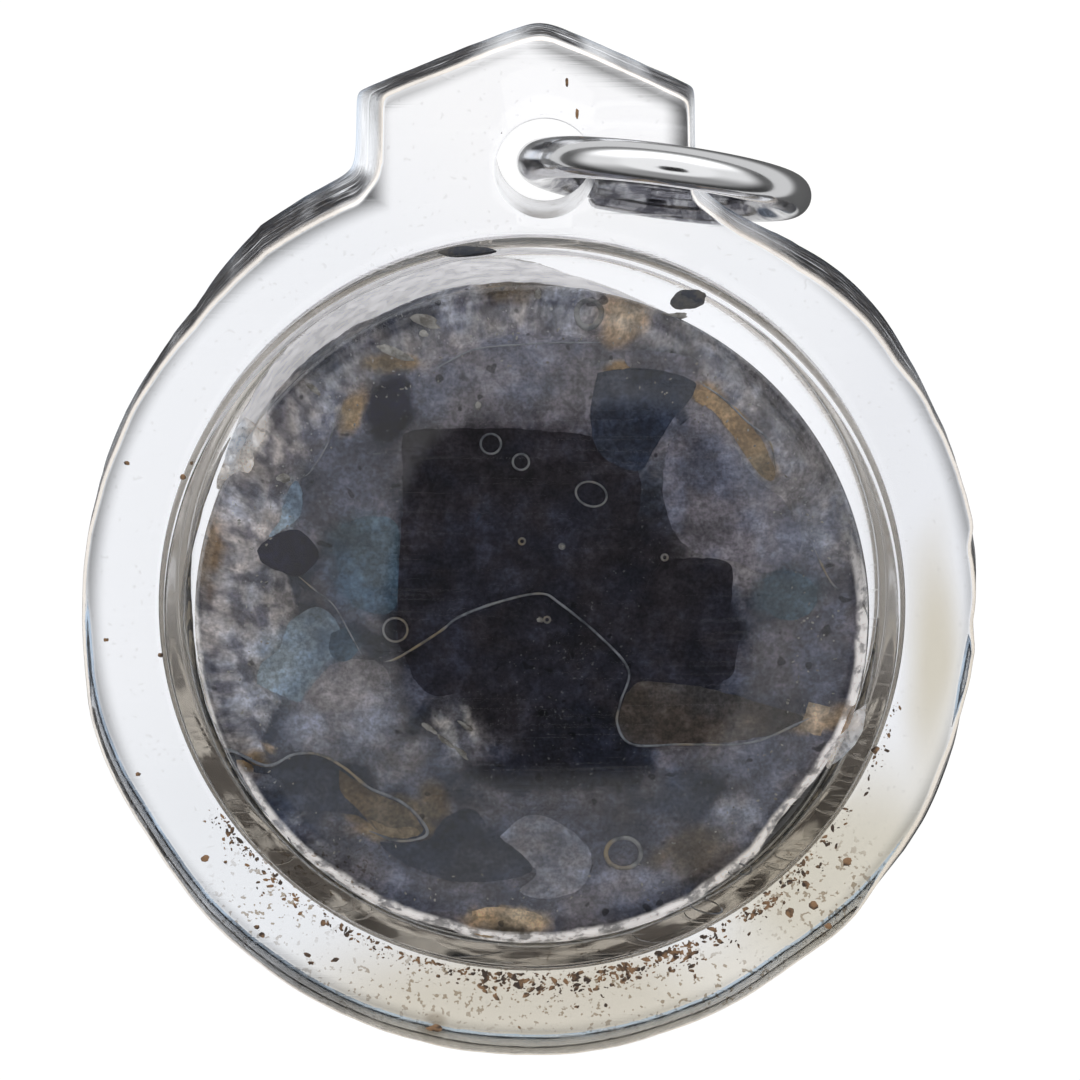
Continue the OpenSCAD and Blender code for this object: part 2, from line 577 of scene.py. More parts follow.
@dataclass(frozen=True)
class Filing:
    """A stretch of the edge that leans in, between directions in degrees.

    lean is how far the front edge stands in from the back edge. bevel and its drop are the
    width and height of a bevel on the front edge.
    """

    start: float
    full: float
    fade: float
    end: float
    lean: float
    bevel: float = 0.0
    drop: float = 1.0

    def share(self, degrees: float) -> float:
        """How much of the filing there is in one direction."""
        turn = (degrees - self.start) % 360.0
        rise, fall, last = ((x - self.start) % 360.0 for x in (self.full, self.fade, self.end))
        if turn > last:
            return 0.0
        return eased(turn, 0.0, rise) * (1 - eased(turn, fall, last))


@dataclass
class Outline:
    """The hand-filed outline of the flange, in millimetres from the pocket's axis."""

    radius: float = 18.25
    drop: float = 0.35
    hollows: tuple[Hollow, ...] = (
        Hollow(306, 0.36, 10), Hollow(322, 0.12, 8), Hollow(290, 0.11, 9), Hollow(348, 0.4, 7),
        Hollow(356, 0.22, 6), Hollow(338, 0.12, 6), Hollow(12, 0.12, 8), Hollow(26, 0.11, 7),
        Hollow(42, -0.17, 8), Hollow(61, 0.42, 7), Hollow(146, 0.1, 8), Hollow(185, 0.15, 6),
        Hollow(213, 0.27, 11), Hollow(232, 0.06, 8),
    )
    flare: float = 18.6
    flare_from: float = 108.0
    flare_full: float = 126.0
    flare_to: float = 139.0
    tab_sine: float = 0.8
    tab_left: float = -7.07
    tab_right: float = 6.53
    eave_left: float = 20.45
    eave_right: float = 20.62
    ridge: Vector = field(default_factory=lambda: Vector((0.35, 23.5)))
    side_lean: float = 1.15
    right_lean: float = 0.3
    shoulder: float = 0.9
    eave_round: float = 0.35
    ridge_round: float = 0.55
    wobble: float = 0.035
    filings: tuple[Filing, ...] = (
        Filing(108, 113, 122, 146, 0.55),
        Filing(28, 36, 52, 60, 0.3),
        Filing(354, 359, 8, 12, 0.3),
        Filing(312, 326, 336, 352, 0.12, bevel=0.35, drop=1.3),
        Filing(150, 160, 176, 188, 0.12),
        Filing(205, 230, 290, 318, 0.08),
    )

    def round_reach(self, angle: float) -> float:
        """The reach of the filed round in a direction in radians, without the tab."""
        sine, cosine = math.sin(angle), math.cos(angle)
        reach = -self.drop * sine + math.sqrt(self.radius**2 - (self.drop * cosine) ** 2)
        reach -= sum(hollow.depth_at(math.degrees(angle)) for hollow in self.hollows)
        degrees = math.degrees(angle) % 360.0
        if self.flare_from < degrees < self.flare_to:
            share = 1 - max(degrees - self.flare_full, 0.0) / (self.flare_to - self.flare_full)
            reach = max(reach, reach + (self.flare - reach) * min(share, 1.0))
        return reach

    def tab_reach(self, angle: float, rise: float) -> float:
        """The reach of the house-shaped tab in a direction.

        Args:
            angle: the direction in radians.
            rise: the height in the flange, from 0 at the back to 1 at the front.

        Returns:
            The distance to the tab's edge, or to the edge's line outside the tab.
        """
        far = 60.0
        sine, cosine = math.sin(angle), math.cos(angle)
        left = self.tab_left + self.side_lean * rise
        right = self.tab_right - self.right_lean * rise
        side = far
        if cosine < -1e-6:
            side = min(side, left / cosine)
        if cosine > 1e-6:
            side = min(side, right / cosine)
        roofs = []
        for eave in (Vector((self.tab_left, self.eave_left)), Vector((self.tab_right, self.eave_right))):
            along = (self.ridge - eave).normalized()
            normal = Vector((-along.y, along.x)) if along.x > 0 else Vector((along.y, -along.x))
            facing = normal.x * cosine + normal.y * sine
            roofs.append(normal.dot(eave) / facing if facing > 1e-3 else far)
        roof = soft_min(*roofs, self.ridge_round)
        return soft_min(side, roof, self.eave_round)

    def reach(self, angle: float, rise: float) -> float:
        """The reach of the whole outline.

        Args:
            angle: the direction in radians.
            rise: the height in the flange, from 0 at the back to 1 at the front.

        Returns:
            The distance to the edge.
        """
        reach = self.round_reach(angle)
        if math.sin(angle) > self.tab_sine:
            reach = soft_max(reach, self.tab_reach(angle, rise), self.shoulder)
        degrees = math.degrees(angle) % 360.0
        for filing in self.filings:
            share = filing.share(degrees)
            if share:
                bevel = max(0.0, 1 - (1 - rise) * Case.thickness / filing.drop) * filing.bevel
                reach -= share * (filing.lean * rise + bevel)
        slow = Vector((math.cos(angle), math.sin(angle), rise * 0.12)) * 9.0
        fast = Vector((math.cos(angle), math.sin(angle), rise * 0.05)) * 31.0
        return reach + self.wobble * (noise.noise(slow) + 0.5 * noise.noise(fast)) - self.wobble


@dataclass
class Case:
    """The clear case: two halves with a pocket between them. Lengths are in millimetres.

    Its materials are numbered FACE, BOND, EDGE and BORE, in the order in which build lists them.
    """

    thickness = 4.4
    outline: Outline = field(default_factory=Outline)
    back_z: float = 3.6
    seam_gap: float = 0.03
    pocket_r: float = 14.7
    wall: float = 0.9
    dome_h: float = 3.2
    dome_rise: float = 0.8
    wall_lean: float = 1.2
    press_round: float = 1.8
    inner_round: float = 0.9
    base_round: float = 0.4
    edge_round: float = 0.16
    face_from: float = 16.2
    hole: Vector = field(default_factory=lambda: Vector((0.52, 18.0)))
    hole_r: float = 1.95
    hole_edge: float = 0.22
    hole_steps: int = 96
    hole_sharp: float = 38.0
    segments: int = 480
    tab_share: float = 0.42
    tab_half_angle: float = 27.0
    arc_steps: int = 7
    draft: float = 10.0
    crown_shares: tuple[float, ...] = (0.12, 0.25, 0.38, 0.5, 0.61, 0.71, 0.8, 0.88, 0.94, 0.98, 1.0)
    face_shares: tuple[float, ...] = (0.5, 0.86, 0.96)
    side_shares: tuple[float, ...] = (0.3, 0.5, 0.7, 0.85, 0.97)

    @property
    def seam_z(self) -> float:
        """The height of the seam between the halves."""
        return self.back_z + self.thickness / 2

    @property
    def front_z(self) -> float:
        """The height of the flange's front face."""
        return self.back_z + self.thickness

    def direction(self, even: float) -> float:
        """Moves an even direction so that the tab gets more vertices.

        Args:
            even: a direction in radians, evenly spaced.

        Returns:
            The direction in radians, closely spaced round the tab.
        """
        half = math.radians(self.tab_half_angle)
        share = ((even - math.pi / 2 + math.pi) % math.tau) / math.tau * 2 - 1
        if abs(share) < self.tab_share:
            turn = share / self.tab_share * half
        else:
            rest = (abs(share) - self.tab_share) / (1 - self.tab_share)
            turn = math.copysign(half + rest * (math.pi - half), share)
        return math.pi / 2 + turn

    def crown(self, reach: float, inset: float) -> float:
        """The height of the blister's face over the flange.

        Args:
            reach: the distance from the axis.
            inset: 0 for the outer face, and the wall for the inner one.

        Returns:
            The height over the flange's front face.
        """
        foot = self.pocket_r - inset - self.wall_lean - self.corner(inset)
        return self.dome_h - inset - self.dome_rise * (reach / foot) ** 2

    def ceiling(self, reach: float) -> float:
        """The height of the blister's inner face at a distance from the axis."""
        foot = self.pocket_r - self.wall - self.wall_lean - self.inner_round
        inner = self.crown(min(reach, foot), self.wall)
        over = min(max(reach - foot, 0.0) / self.inner_round, 1.0)
        return self.front_z + inner - self.inner_round * (1 - math.sqrt(1 - over * over))

    def corner(self, inset: float) -> float:
        """The radius of a pressed corner, outside or inside."""
        return self.press_round if inset == 0 else self.inner_round

    def pressed(self, inset: float, rise: float, total: float) -> list[tuple[float, float]]:
        """Half section of a pressed form, from its axis to its foot.

        Args:
            inset: 0 for the outer face, and the wall for the inner one.
            rise: how much its face crowns.
            total: its outer height.

        Returns:
            Reaches and heights over the flange's face.
        """
        radius = self.corner(inset)
        centre = self.pocket_r - inset - self.wall_lean - radius
        slope = math.atan2(2 * rise, centre)
        foot = centre + radius * math.sin(slope)
        top = total - inset - rise
        points = []
        for share in self.crown_shares:
            points.append((foot * share, top + rise * (1 - share * share)))
        first = math.pi / 2 - slope
        for i in range(1, self.arc_steps + 1):
            angle = first - (first - math.radians(self.draft)) * i / self.arc_steps
            height = top - radius * math.cos(slope) + radius * math.sin(angle)
            points.append((centre + radius * math.cos(angle), height))
        return points

    def half(self, which: Half) -> Form:
        """The skin of one half, grown from the middle of its outer face to that of its inner face.

        Args:
            which: the back or the front half.

        Returns:
            The skin.
        """
        front = which is Half.FRONT
        way = 1.0 if front else -1.0
        face_z = self.front_z if front else self.back_z
        rise = self.dome_rise if front else 0.0
        total = self.dome_h if front else self.back_z
        seam = self.seam_z + way * self.seam_gap / 2
        skin = Skin(self.segments, self.direction)
        skin.start(face_z + way * total)

        def level(reach: float, height: float) -> Ring:
            """A round ring at one height."""
            return lambda angle: (reach, height)

        def on_face(share: float) -> Ring:
            """A ring on the flange's face, between the pocket and the edge."""
            edge = self._along(face_z, self.edge_round)
            return lambda angle: (self.face_from + (edge(angle)[0] - self.face_from) * share, face_z)

        def on_wall(share: float, inset: float = 0.0) -> Ring:
            """A ring on the side between the face and the seam, or in from it."""
            return self._along(face_z + (seam - face_z) * share, inset)

        for reach, height in self.pressed(0.0, rise, total):
            skin.grow(level(reach, face_z + way * height))
        for i in range(self.arc_steps + 1):
            turn = math.pi / 2 * i / self.arc_steps
            reach = self.pocket_r + self.base_round * (1 - math.cos(turn)) - 0.05
            skin.grow(level(reach, face_z + way * self.base_round * (1 - math.sin(turn))))
        skin.grow(level(self.pocket_r + self.base_round + 0.3, face_z))
        skin.grow(level(self.face_from, face_z))
        for share in self.face_shares:
            skin.grow(on_face(share))
        for i in range(self.arc_steps):
            turn = math.pi / 2 * (i + 0.5) / self.arc_steps
            height = face_z - way * self.edge_round * (1 - math.cos(turn))
            skin.grow(self._along(height, self.edge_round * (1 - math.sin(turn))), slot=EDGE if i else FACE)
        for share in self.side_shares:
            skin.grow(on_wall(share), slot=EDGE)
        skin.grow(on_wall(1.0, 0.05), slot=EDGE)
        skin.grow(on_wall(1.0, 0.5), slot=BOND)
        bore = self.pocket_r - self.wall
        skin.grow(level(bore + 0.4, seam), slot=BOND)
        skin.grow(level(bore, seam), slot=BOND)
        skin.grow(level(bore, seam + way * 0.6))
        skin.grow(level(bore, face_z - way * 0.3))
        for reach, height in reversed(self.pressed(self.wall, rise, total)):
            skin.grow(level(reach, face_z + way * height))
        skin.grow(level(0.05, face_z + way * (total - self.wall)))
        return skin.finish(face_z + way * (total - self.wall))

    def _along(self, height: float, inset: float) -> Ring:
        """Places a ring that follows the outline, some way in from it."""
        rise = (height - self.back_z) / self.thickness
        return lambda angle: (self.outline.reach(angle, rise) - inset, height)

    def under(self, px: float, py: float, depth: float) -> Vector:
        """The point that is seen at a pixel, some depth under the blister's inner face."""
        return EYE.onto(px, py, lambda reach: self.ceiling(reach) - depth)

    def drill(self, target: bpy.types.Object) -> None:
        """Cuts the tab's hole, with its edges broken, through one half."""
        profile = bmesh.new()
        depth = 1.0
        low, high = self.back_z, self.front_z
        wide, part = self.hole_r + self.hole_edge, self.hole_edge * 0.3
        points = [
            (0.0, low - depth), (wide + depth, low - depth), (wide, low), (self.hole_r + part, low + part),
            (self.hole_r, low + self.hole_edge), (self.hole_r, high - self.hole_edge),
            (self.hole_r + part, high - part), (wide, high), (wide + depth, high + depth),
            (0.0, high + depth),
        ]
        verts = [profile.verts.new((x, 0.0, z)) for x, z in points]
        for pair in zip(verts, verts[1:]):
            profile.edges.new(pair)
        spun(profile, self.hole_steps)
        bmesh.ops.translate(profile, verts=profile.verts, vec=(self.hole.x, self.hole.y, 0))
        bmesh.ops.scale(profile, verts=profile.verts, vec=(MM, MM, MM))
        tool = placed("drill", meshed(profile, "drill"))
        cut = target.modifiers.new("hole", "BOOLEAN")
        cut.operation, cut.solver, cut.object = "DIFFERENCE", "EXACT", tool
        bpy.context.view_layer.update()
        evaluated = target.evaluated_get(bpy.context.evaluated_depsgraph_get())
        drilled = bpy.data.meshes.new_from_object(evaluated)
        target.modifiers.remove(cut)
        target.data = drilled
        bpy.data.objects.remove(tool)
        bore = (self.hole_r + self.hole_edge * 1.1) * MM
        for polygon in drilled.polygons:
            polygon.use_smooth = True
            away = (polygon.center.xy - self.hole * MM).length
            if away < bore and abs(polygon.normal.z) < 0.9:
                polygon.material_index = BORE
        drilled.set_sharp_from_angle(angle=math.radians(self.hole_sharp))

    def build(self) -> None:
        """Makes both halves."""
        others = [finish.material() for finish in (BondedSeam(), FiledEdge(), DrilledBore())]
        for which, slot in ((Half.BACK, Slot.BACK), (Half.FRONT, Slot.FRONT)):
            finish = ClearPlastic(name=f"clear_plastic_{which.name.lower()}", half=which)
            made = piece(
                self.half(which), f"{which.value}_dressed", [finish.material(), *others],
                replaces=which.value,
            )
            self.drill(made)


@dataclass(frozen=True)
class StainAndLightOval:
    """A soft oval on the photograph, in its pixels and degrees, with what it does there. It serves for real
    stains and tints, and also for painted shade and painted light.
    """

    px: float
    py: float
    wide: float
    high: float
    turn: float
    colour: Colour = (1.0, 1.0, 1.0)
    soft: float = 0.4
    share: float = 1.0

    def mask(self, sheet: Sheet, where: object, height: float) -> Signal:
        """The oval's mask on a surface at a height.

        Args:
            sheet: the nodes to add to.
            where: the coordinates.
            height: the surface's height in millimetres.

        Returns:
            The mask, from 0 to the oval's share.
        """
        size = (self.wide * EYE.step, self.high * EYE.step)
        place = EYE.seen(self.px, self.py, height)
        return sheet.spot(where, place, size, self.turn, self.soft) * self.share


def covered(sheet: Sheet, where: object, stain_and_light_ovals: tuple[StainAndLightOval, ...], height: float) -> Signal:
    """The mask of several ovals together on a surface at a height, which may be stains, painted shade or
    painted light.

    Args:
        sheet: the nodes to add to.
        where: the coordinates.
        stain_and_light_ovals: the ovals.
        height: the surface's height in millimetres.

    Returns:
        The mask, from 0 to the largest share.
    """
    return functools.reduce(Signal.at_least, [stain_and_light_oval.mask(sheet, where, height) for stain_and_light_oval in stain_and_light_ovals])


@dataclass(frozen=True)
class ClearPlastic(Finish):
    """Clear acrylic with a faint tint that changes over the case, fine scratches and brown specks."""

    name: str = "clear_plastic"
    half: Half = Half.FRONT
    tint: Colour = (0.915, 0.93, 0.965)
    index: float = 1.49
    stain_and_light_ovals: tuple[StainAndLightOval, ...] = (
        StainAndLightOval(560, 60, 220, 190, 0, (0.985, 0.985, 1.0), 0.5),
        StainAndLightOval(960, 480, 130, 260, 0, (0.86, 0.875, 0.915), 0.6),
        StainAndLightOval(250, 900, 190, 130, -35, (0.86, 0.88, 0.915), 0.6),
        StainAndLightOval(850, 900, 130, 120, 0, (0.68, 0.645, 0.56), 0.5),
        StainAndLightOval(540, 1020, 250, 75, 0, (0.66, 0.62, 0.54), 0.5),
        StainAndLightOval(935, 670, 24, 110, 0, (0.6, 0.54, 0.4), 0.7, 0.7),
        StainAndLightOval(720, 975, 60, 18, 20, (0.8, 0.77, 0.7), 0.7, 0.6),
        StainAndLightOval(435, 1028, 12, 7, 0, (0.25, 0.2, 0.14), 0.5, 0.8),
    )
    specked: tuple[StainAndLightOval, ...] = (
        StainAndLightOval(600, 985, 330, 42, 0, soft=0.4),
        StainAndLightOval(300, 880, 95, 60, 35, soft=0.5),
        StainAndLightOval(825, 890, 75, 60, 0, soft=0.5),
    )

    def paint(self, sheet: Sheet) -> Socket:
        """Adds the nodes."""
        where = sheet.places()
        loose = sheet.warped(where, 0.25, 0.8, 0.0)
        colour = self.tint
        for stain_and_light_oval in self.stain_and_light_ovals:
            colour = sheet.blend(stain_and_light_oval.mask(sheet, loose, EYE.plane), colour, stain_and_light_oval.colour)
        dust = sheet.noise(where, 5.2, 0.0, 0.7).step(0.76, 0.8)
        if self.half is Half.FRONT:
            grains = sheet.noise(where, 4.2, 1.0, 0.6)
            crust = covered(sheet, loose, self.specked, EYE.plane)
            colour = sheet.blend(grains.step(0.6, 0.66) * crust, colour, (0.2, 0.15, 0.1))
            colour = sheet.blend(dust * 0.2, colour, (0.4, 0.38, 0.37))
        lines = self.scratches(sheet, where)
        height = sheet.noise(where, 0.4, 0.0) + lines * -0.12
        return sheet.principled({
            "Base Color": colour,
            "Roughness": lines * 0.12 + dust * 0.05 + 0.015,
            "IOR": self.index,
            "Transmission Weight": 1.0,
            "Normal": sheet.bump(height, 0.006),
        })

    def scratches(self, sheet: Sheet, where: object) -> Signal:
        """Fine straight scratches, in two directions on the front half and one on the back."""
        ways = ((12, 0.9),) if self.half is Half.BACK else ((12, 0.9), (-54, 0.8))
        lines = [
            sheet.noise(sheet.stretched(where, turn, (0.16, 9.0, 1.0)), scale, 0.0).step(0.7, 0.74)
            for turn, scale in ways
        ]
        return functools.reduce(Signal.at_least, lines)


@dataclass(frozen=True)
class FiledEdge(Finish):
    """The case's filed side: satin, with file marks, painted shade as a near-black coat in the marks,
    painted colour fringes and a painted glow.
    """

    name: str = "filed_edge"
    low: float = 3.6
    middle: float = 5.8
    high: float = 8.0
    # Painted shade: dark ovals along the edge, where refraction makes the filed side look dark, laid as a
    # near-black coat in the file marks.
    painted_shade: tuple[StainAndLightOval, ...] = (
        StainAndLightOval(340, 205, 52, 18, 30),
        StainAndLightOval(270, 240, 50, 22, 40),
        StainAndLightOval(205, 300, 46, 18, 50),
        StainAndLightOval(160, 370, 36, 10, 60),
        StainAndLightOval(430, 66, 62, 14, 22),
        StainAndLightOval(668, 84, 26, 16, -24),
        StainAndLightOval(556, 34, 34, 16, 0),
        StainAndLightOval(850, 300, 96, 26, -46),
        StainAndLightOval(930, 440, 80, 14, -66),
        StainAndLightOval(966, 590, 14, 60, 0),
        StainAndLightOval(925, 790, 34, 84, -24),
        StainAndLightOval(150, 800, 20, 120, 24, share=0.5),
        StainAndLightOval(300, 985, 130, 22, -38, share=0.6),
    )
    # Painted light: ovals where the edge glows through emission, standing in for light scattered in the
    # case.
    lit: tuple[StainAndLightOval, ...] = (
        StainAndLightOval(352, 150, 26, 52, 0),
        StainAndLightOval(560, 45, 80, 30, 0, share=0.7),
        StainAndLightOval(640, 85, 46, 30, 0, share=0.6),
        StainAndLightOval(700, 160, 26, 60, 0),
    )

    def paint(self, sheet: Sheet) -> Socket:
        """Adds the nodes."""
        where = sheet.places()
        rise = (sheet.along(where, "Z") - self.low) / (self.high - self.low)
        marks = sheet.noise(sheet.stretched(where, 0, (0.45, 0.45, 9.0)), 1.3, 5.0, 0.65)
        nicks = sheet.noise(where, 3.3, 4.0, 0.6)
        # Painted colour fringes: blue low on the edge and peach high on it, standing in for the colours
        # that refraction splits at the edge.
        colour = sheet.blend(rise.step(0.0, 0.3), (0.42, 0.6, 0.85), (0.8, 0.83, 0.87))
        colour = sheet.blend(rise.step(0.8, 0.97), colour, (0.97, 0.86, 0.74))
        colour = sheet.blend(marks.step(0.5, 0.72) * 0.35, colour, (0.5, 0.5, 0.52))
        # Painted glow: a grey emission in the lit ovals, weaker over part of the file marks.
        lit = covered(sheet, where, self.lit, self.middle) * marks.step(0.3, 0.6, 1.0, 0.6)
        glass = sheet.principled({
            "Base Color": colour,
            "Roughness": marks.step(0.35, 0.75, 0.08, 0.34),
            "IOR": 1.49,
            "Transmission Weight": 0.82,
            "Emission Color": sheet.blend(lit, UNLIT, (0.5, 0.51, 0.53)),
            "Emission Strength": 1.0,
            "Normal": sheet.bump(marks * 0.6 + nicks * 0.4, 0.05),
        })
        # Painted shade: a near-black rough coat over the file marks inside the dark ovals, fading out at
        # the top of the edge.
        area = covered(sheet, sheet.warped(where, 0.8, 0.5), self.painted_shade, self.middle)
        dirt_and_shade = sheet.principled({
            "Base Color": sheet.blend(nicks.step(0.4, 0.65), (0.01, 0.012, 0.02), (0.06, 0.05, 0.045)),
            "Roughness": 0.5,
            "Normal": sheet.bump(nicks, 0.05),
        })
        cover = area * marks.step(0.36, 0.52) * rise.step(0.98, 0.8)
        return sheet.node("ShaderNodeMixShader", None, {0: cover, 1: glass, 2: dirt_and_shade}).outputs[0]


@dataclass(frozen=True)
class DrilledBore(Finish):
    """The wall of the tab's hole: drilled, with fine rings and a little dirt."""

    name: str = "drilled_bore"

    def paint(self, sheet: Sheet) -> Socket:
        """Adds the nodes."""
        where = sheet.places()
        rings = sheet.noise(sheet.stretched(where, 0, (0.5, 0.5, 9.0)), 1.0, 3.0)
        dirt_and_shade = sheet.noise(where, 1.6, 4.0, 0.65)
        return sheet.principled({
            "Base Color": sheet.blend(dirt_and_shade.step(0.5, 0.75), (0.9, 0.91, 0.93), (0.5, 0.49, 0.48)),
            "Roughness": rings.step(0.3, 0.7, 0.3, 0.55),
            "IOR": 1.12,
            "Transmission Weight": 1.0,
            "Normal": sheet.bump(rings * 0.7 + dirt_and_shade * 0.3, 0.04),
        })


@dataclass(frozen=True)
class BondedSeam(Finish):
    """The bond between the halves, which light passes unbent."""

    name: str = "bonded_seam"

    def paint(self, sheet: Sheet) -> Socket:
        """Adds the nodes."""
        return sheet.node("ShaderNodeBsdfTransparent", None, {"Color": WHITE}).outputs[0]


# The wax


DARK_AT = (567, 605)
DARK_HALF = (168, 175)
DARK_HAZE = 0.002
OPEN_HAZE = 0.024
LIGHT = 0.45


class Tone(Enum):
    """The wax's colours as they show through the case, in display values."""

    BLACK = (27, 28, 35)
    SOOT = (38, 37, 43)
    INK = (40, 46, 55)
    SLATE = (62, 65, 73)
    GREY = (84, 84, 91)
    STONE = (98, 98, 106)
    ASH = (112, 112, 118)
    RIME = (136, 135, 138)
    CHALK = (186, 185, 188)
    TEAL = (74, 86, 97)
    MIST = (107, 119, 130)
    BROWN = (62, 58, 56)
    UMBER = (90, 82, 72)
    OCHRE = (117, 103, 85)
    TAN = (142, 126, 108)
    CREAM = (168, 148, 122)

    def albedo(self, px: float, py: float) -> Colour:
        """The wax's own colour, without the haze of light that the case adds over it.

        The haze is thin inside one oval of the photograph, DARK_HALF about DARK_AT in pixels.

        Args:
            px: the column at which it is seen.
            py: the row at which it is seen.

        Returns:
            The linear colour.
        """
        across, along = (px - DARK_AT[0]) / DARK_HALF[0], (py - DARK_AT[1]) / DARK_HALF[1]
        away = (abs(across) ** 4 + abs(along) ** 4) ** 0.25
        haze = DARK_HAZE + OPEN_HAZE * eased(away, 0.95, 1.05)
        lit = [((value / 255 + 0.055) / 1.055) ** 2.4 for value in self.value]
        return tuple(min(max((value - haze) / LIGHT, 0.008), 0.9) for value in lit)


@dataclass(frozen=True)
class Patch:
    """One patch of the wax: an oval in the photograph's pixels and degrees, and its tone."""

    px: float
    py: float
    wide: float
    high: float
    tone: Tone
    turn: float = 0.0
    soft: float = 0.4
    share: float = 1.0

    def laid(self, height: float) -> "LaidPatch":
        """The patch on the wax's face, at a height in millimetres."""
        return LaidPatch(
            EYE.seen(self.px, self.py, height).xy, self.wide * EYE.step, self.high * EYE.step,
            math.radians(self.turn), Vector(self.tone.albedo(self.px, self.py)), self.soft, self.share,
        )


@dataclass(frozen=True)
class LaidPatch:
    """A patch in millimetres and radians, with its linear colour."""

    middle: Vector
    wide: float
    high: float
    turn: float
    colour: Vector
    soft: float
    share: float

    def over(self, spot: Vector, colour: Vector) -> Vector:
        """Lays the patch over a colour at a spot.

        Args:
            spot: the place.
            colour: the colour under the patch.

        Returns:
            The colour with the patch.
        """
        across, along = spot.x - self.middle.x, spot.y - self.middle.y
        limit = max(self.wide, self.high) * (1 + self.soft)
        if abs(across) > limit or abs(along) > limit:
            return colour
        cosine, sine = math.cos(self.turn), math.sin(self.turn)
        reach = math.hypot(
            (across * cosine + along * sine) / self.wide, (along * cosine - across * sine) / self.high
        )
        if reach > 1 + self.soft:
            return colour
        return colour.lerp(self.colour, self.share * (1 - eased(reach, 1 - self.soft, 1 + self.soft)))


@dataclass(frozen=True)
class Contact:
    """The outline inside which the wax touches the case's face, from points on the photograph."""

    height: float = 10.1
    points: tuple[tuple[float, float], ...] = (
        (862, 640), (850, 600), (830, 580), (810, 540), (790, 510), (775, 470), (770, 440), (745, 420),
        (720, 395), (696, 382), (640, 362), (620, 345), (560, 342), (490, 343), (470, 352), (430, 372),
        (385, 392), (345, 405), (335, 430), (320, 455), (303, 480), (300, 530), (265, 545), (290, 575),
        (300, 610), (300, 650), (285, 700), (262, 740), (290, 800), (330, 850), (390, 895), (460, 925),
        (540, 935), (620, 925), (690, 890), (750, 840), (800, 780), (840, 720), (860, 700),
    )

    def table(self) -> list[tuple[float, float]]:
        """The outline's directions in radians and its reaches, in order."""
        spots = [EYE.seen(px, py, self.height) for px, py in self.points]
        return sorted((math.atan2(spot.y, spot.x) % math.tau, spot.xy.length) for spot in spots)


